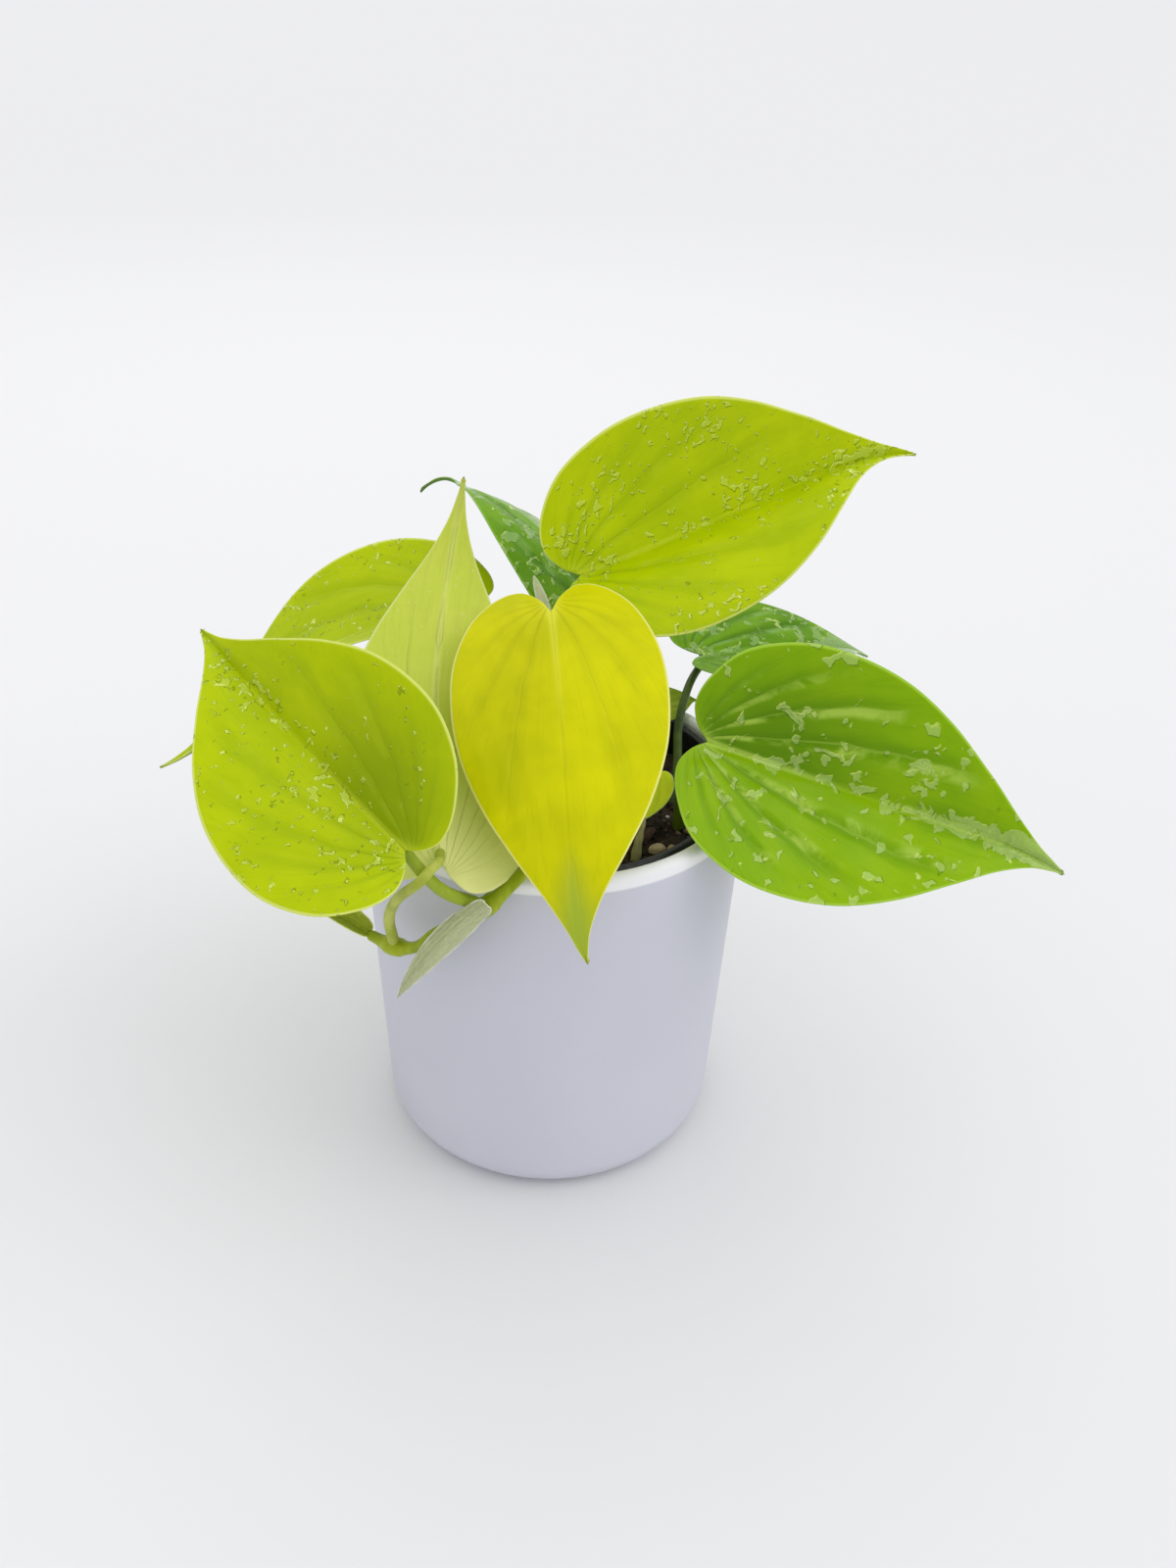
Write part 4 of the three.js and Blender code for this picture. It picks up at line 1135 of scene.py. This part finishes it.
class PLANT_OT_leaves(bpy.types.Operator):
    """Grow every leaf on its stalk"""
    bl_idname = "plant.leaves"
    bl_label = "Leaves"

    def execute(self, context):
        s = context.scene.plant
        thickness, depth = s.blade_thickness / MM, s.vein_depth / MM
        slots = {"gold": "leaf_gold", "lime": "leaf_lime", "green": "leaf_green", "dark": "leaf_dark",
                 "pale": "leaf_pale", "olive": "leaf_dark", "young": "leaf_lime"}
        stalks = {
            "gold": stalk_finish("Stalk Lime", (150, 172, 24), (176, 192, 50)),
            "lime": stalk_finish("Stalk Green", (136, 158, 30), (160, 178, 52)),
            "green": stalk_finish("Stalk Olive", (96, 122, 30), (122, 142, 48)),
            "dark": stalk_finish("Stalk Dark", (58, 78, 28), (84, 100, 40)),
            "pale": stalk_finish("Stalk Tan", (158, 170, 52), (188, 196, 88)),
            "olive": stalk_finish("Stalk Small", (110, 130, 44), (140, 152, 66)),
        }
        stalks["young"] = stalks["olive"]
        unders = {finish: leaf_under("Leaf Under " + finish.title(), finish) for finish in FINISHES}
        for name, (finish, sizes, points, foot, neck) in LEAVES.items():
            build = Build()
            size = {key: sizes[key] * s.leaf_size for key in ("length", "left", "right")}
            blade = Blade(**{**sizes, **size})
            if blade.length < SMALL_LEAF:
                rows, columns, relief = 48, 10, leaf_relief(blade, 0, 0)
            else:
                rows, columns, relief = 128, 26, leaf_relief(blade, depth, leaf_look(finish)["fold"])
            blade_mesh(build, blade, rows, columns, thickness, relief, 0, 1, self.midrib(neck))
            self.stalk(build, blade, points, foot, neck)
            leaf = build.object(name.title(), [leaf_top(name, finish), unders[finish], stalks[finish]])
            declare(leaf, slots[finish], name)
        return {"FINISHED"}

    def midrib(self, neck):
        """The rib that stands out below, thick at the stalk's neck and thin at the tip."""
        def rib(u, b):
            radius = neck * np.clip(RIB_END - u, 0.12, 1) * 0.9
            return radius * bell(b / radius) * unit(u * 30 + 0.3)
        return rib

    def stalk(self, build, blade, points, foot, neck):
        """A stalk from its foot to the blade's junction, thicker just below it."""
        joint = blade.at(np.array([JOINT_AT]), np.array([0.0]), -neck - 0.5)[0]
        start = np.array(points[0], float)
        if points[0] in (FIRST_NODE, SECOND_NODE):
            away = np.array(points[1], float) - start
            start = start + away / np.linalg.norm(away) * NODE_CLEARANCE
        share = np.linspace(0, 1, STALK_POINTS)
        radii = foot + (neck - foot) * share
        radii = radii * (1 + 0.1 * bell((1 - share) / 0.06))
        build.tube(smooth_path([start, *points[1:], joint], STALK_POINTS), radii, 2, 20)


class PLANT_OT_stems(bpy.types.Operator):
    """Grow the vine with its nodes, the young shoot and the old cut stem"""
    bl_idname = "plant.stems"
    bl_label = "Stems"

    def execute(self, context):
        path, share = self.walk(VINE, 220)
        radii = 1.8 - 0.3 * share
        for node in (FIRST_NODE, SECOND_NODE):
            far = np.linalg.norm(path - np.array(node), axis=1)
            radii = radii + 1.1 * bell(far / 4) + 0.16 * bell((far - 2.2) / 0.5)
        vine = grown("Vine", path, radii, 32, stalk_finish("Vine", (142, 160, 6), (172, 186, 36)))
        declare(vine, "stem", "vine")

        path, share = self.walk(YOUNG_SHOOT, 80)
        taper = np.maximum(np.sqrt(np.maximum(1 - share ** 6, 0)), 0.14)
        shoot = grown("Young_Shoot", path, taper * (1.65 + 0.85 * share), 24,
                      stalk_finish("Shoot", (214, 224, 168), (238, 241, 208)))
        declare(shoot, "sheath", "young_shoot")

        path, share = self.walk(DRY_SHEATH, 40)
        dry = grown("Dry_Sheath", path, 1.5 - 1.2 * share ** 2 + 0.08 * np.sin(share * 23), 20,
                    stalk_finish("Dry Sheath", (176, 172, 112), (204, 198, 146), 0.6))
        declare(dry, "sheath")

        path, share = self.walk(OLD_STEM, 40)
        old = grown("Old_Stem", path, 1.6 - 0.3 * share + 0.06 * np.sin(np.linspace(0, 19, 40)), 20,
                    grain_finish("Dead Stem", (62, 42, 28), (34, 24, 18), 300))
        declare(old, "bark", "old_stem")
        return {"FINISHED"}

    def walk(self, corners, count):
        """Points along a smooth path, and the share of the way of each."""
        return smooth_path(corners, count), np.linspace(0, 1, count)


class PLANT_OT_sheaths(bpy.types.Operator):
    """Fold the papery sheaths at the vine's nodes"""
    bl_idname = "plant.sheaths"
    bl_label = "Sheaths"

    def execute(self, context):
        finishes = {
            "node_sheath": sheath_finish("Sheath", (206, 218, 146), (236, 240, 196), (250, 250, 230)),
            "new_shoot": sheath_finish("New Shoot", (190, 208, 44), (210, 224, 80), (224, 232, 116)),
        }
        thickness, rows, columns = 0.5, 90, 20
        for name, sizes in SHEATHS.items():
            build = Build()
            blade_mesh(build, Blade(**sizes), rows, columns, thickness, self.furrows, 0, 0)
            declare(build.object(name.title(), [finishes[name]]), "sheath", name)
        return {"FINISHED"}

    def furrows(self, u, b, t, share, under):
        """Fine furrows along a sheath's outer face."""
        if under:
            return np.zeros_like(u)
        return 0.1 * np.sin(b * 5.5 + u * 3) * unit(t * 12)


class PLANT_OT_stage(bpy.types.Operator):
    """Set up the floor, the soft lights and the camera"""
    bl_idname = "plant.stage"
    bl_label = "Stage"

    def execute(self, context):
        scene = context.scene
        bpy.ops.object.select_all(action="DESELECT")
        # The floor is flat near the plant and bends up far from it
        squares, size, flat, bend = 120, 80, 4, 0.005
        bpy.ops.mesh.primitive_grid_add(x_subdivisions=squares, y_subdivisions=squares, size=size)
        floor = context.object
        floor.name = "Floor"
        for v in floor.data.vertices:
            v.co.z = bend * max(v.co.xy.length - flat, 0) ** 2
        bpy.ops.object.shade_smooth()
        n = Nodes("Floor")
        n.set(Base_Color=tuple(scene.plant.floor_colour), Roughness=0.9, Specular_IOR_Level=0.0)
        floor.data.materials.append(n.material)
        self.sky(scene)
        self.lights()
        self.camera(scene)
        scene.view_settings.view_transform = "Standard"
        return {"FINISHED"}

    def lights(self):
        """A weak wide sun from the right and a soft window behind. A sun's size is an angle."""
        lights = (
            ("Sun", "SUN", (1.0, -0.1, 0.9), math.radians(45), 0.5),
            ("Window", "AREA", (-0.25, 1.0, 1.3), 0.9, 2.0),
        )
        for name, kind, place, size, power in lights:
            lamp = bpy.data.lights.new(name, kind)
            lamp.energy = power
            if kind == "SUN":
                lamp.angle = size
            else:
                lamp.size = size
            obj = placed(name, lamp)
            obj.location = place
            obj.rotation_euler = (Vector((0, 0, 0.1)) - obj.location).to_track_quat("-Z", "Y").to_euler()

    def camera(self, scene):
        """Looks down at the photograph's angle, turned a little about its own axis.

        The focal length, the shifts and the frame's height are in the photograph's pixels.
        """
        tilt, turn, distance = math.radians(31.55), math.radians(1.87), 0.39793
        focal, shift_x, shift_y, frame_height = 1300.0, -37.42, 149.92, 1600
        aim, sensor = Vector((0, 0, 0.059)), 36
        back = Vector((0, -math.cos(tilt), math.sin(tilt)))
        right = Vector((1, 0, 0))
        up = right.cross(-back)
        across = right * math.cos(turn) + up * math.sin(turn)
        upward = up * math.cos(turn) - right * math.sin(turn)
        place = aim + back * distance
        place += (upward * shift_y - across * shift_x) * distance / focal
        camera = placed("Camera", bpy.data.cameras.new("Camera"))
        camera.data.sensor_width = sensor
        camera.data.lens = sensor * focal / frame_height
        camera.data.clip_end = 50
        axes = Matrix((across, upward, back)).transposed().to_4x4()
        camera.matrix_world = Matrix.Translation(place) @ axes
        scene.camera = camera

    def sky(self, scene):
        """An overcast sky, brightest overhead."""
        world = bpy.data.worlds.new("Studio")
        world.use_nodes = True
        tree = world.node_tree
        background = tree.nodes["Background"]
        parts = tree.nodes.new("ShaderNodeSeparateXYZ")
        ramp = tree.nodes.new("ShaderNodeMapRange")
        place = tree.nodes.new("ShaderNodeTexCoord")
        tree.links.new(place.outputs["Generated"], parts.inputs[0])
        tree.links.new(parts.outputs["Z"], ramp.inputs["Value"])
        for key, value in (("From Min", 0.0), ("From Max", 1.0), ("To Min", 0.45), ("To Max", 1.21)):
            ramp.inputs[key].default_value = value
        tree.links.new(ramp.outputs[0], background.inputs["Strength"])
        background.inputs["Color"].default_value = (0.98, 0.983, 1, 1)
        scene.world = world


class PLANT_PT_panel(bpy.types.Panel):
    """The plant's sizes and steps"""
    bl_idname = "PLANT_PT_panel"
    bl_label = "Potted Philodendron"
    bl_space_type = "VIEW_3D"
    bl_region_type = "UI"
    bl_category = "Plant"

    def draw(self, context):
        for key in PlantSettings.__annotations__:
            self.layout.prop(context.scene.plant, key)
        for operator in OPERATORS:
            self.layout.operator(operator.bl_idname)


OPERATORS = (
    PLANT_OT_cover_pot, PLANT_OT_nursery_pot, PLANT_OT_soil, PLANT_OT_leaves, PLANT_OT_stems,
    PLANT_OT_sheaths, PLANT_OT_stage,
)
CLASSES = (PlantSettings, *OPERATORS, PLANT_PT_panel)


def register():
    for cls in CLASSES:
        bpy.utils.register_class(cls)
    bpy.types.Scene.plant = bpy.props.PointerProperty(type=PlantSettings)


def unregister():
    del bpy.types.Scene.plant
    for cls in reversed(CLASSES):
        bpy.utils.unregister_class(cls)


def main():
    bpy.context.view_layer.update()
    register()
    bpy.ops.plant.cover_pot()
    bpy.ops.plant.nursery_pot()
    bpy.ops.plant.soil()
    bpy.ops.plant.leaves()
    bpy.ops.plant.stems()
    bpy.ops.plant.sheaths()
    bpy.ops.plant.stage()
    bpy.context.view_layer.update()


if __name__ == "__main__":
    main()
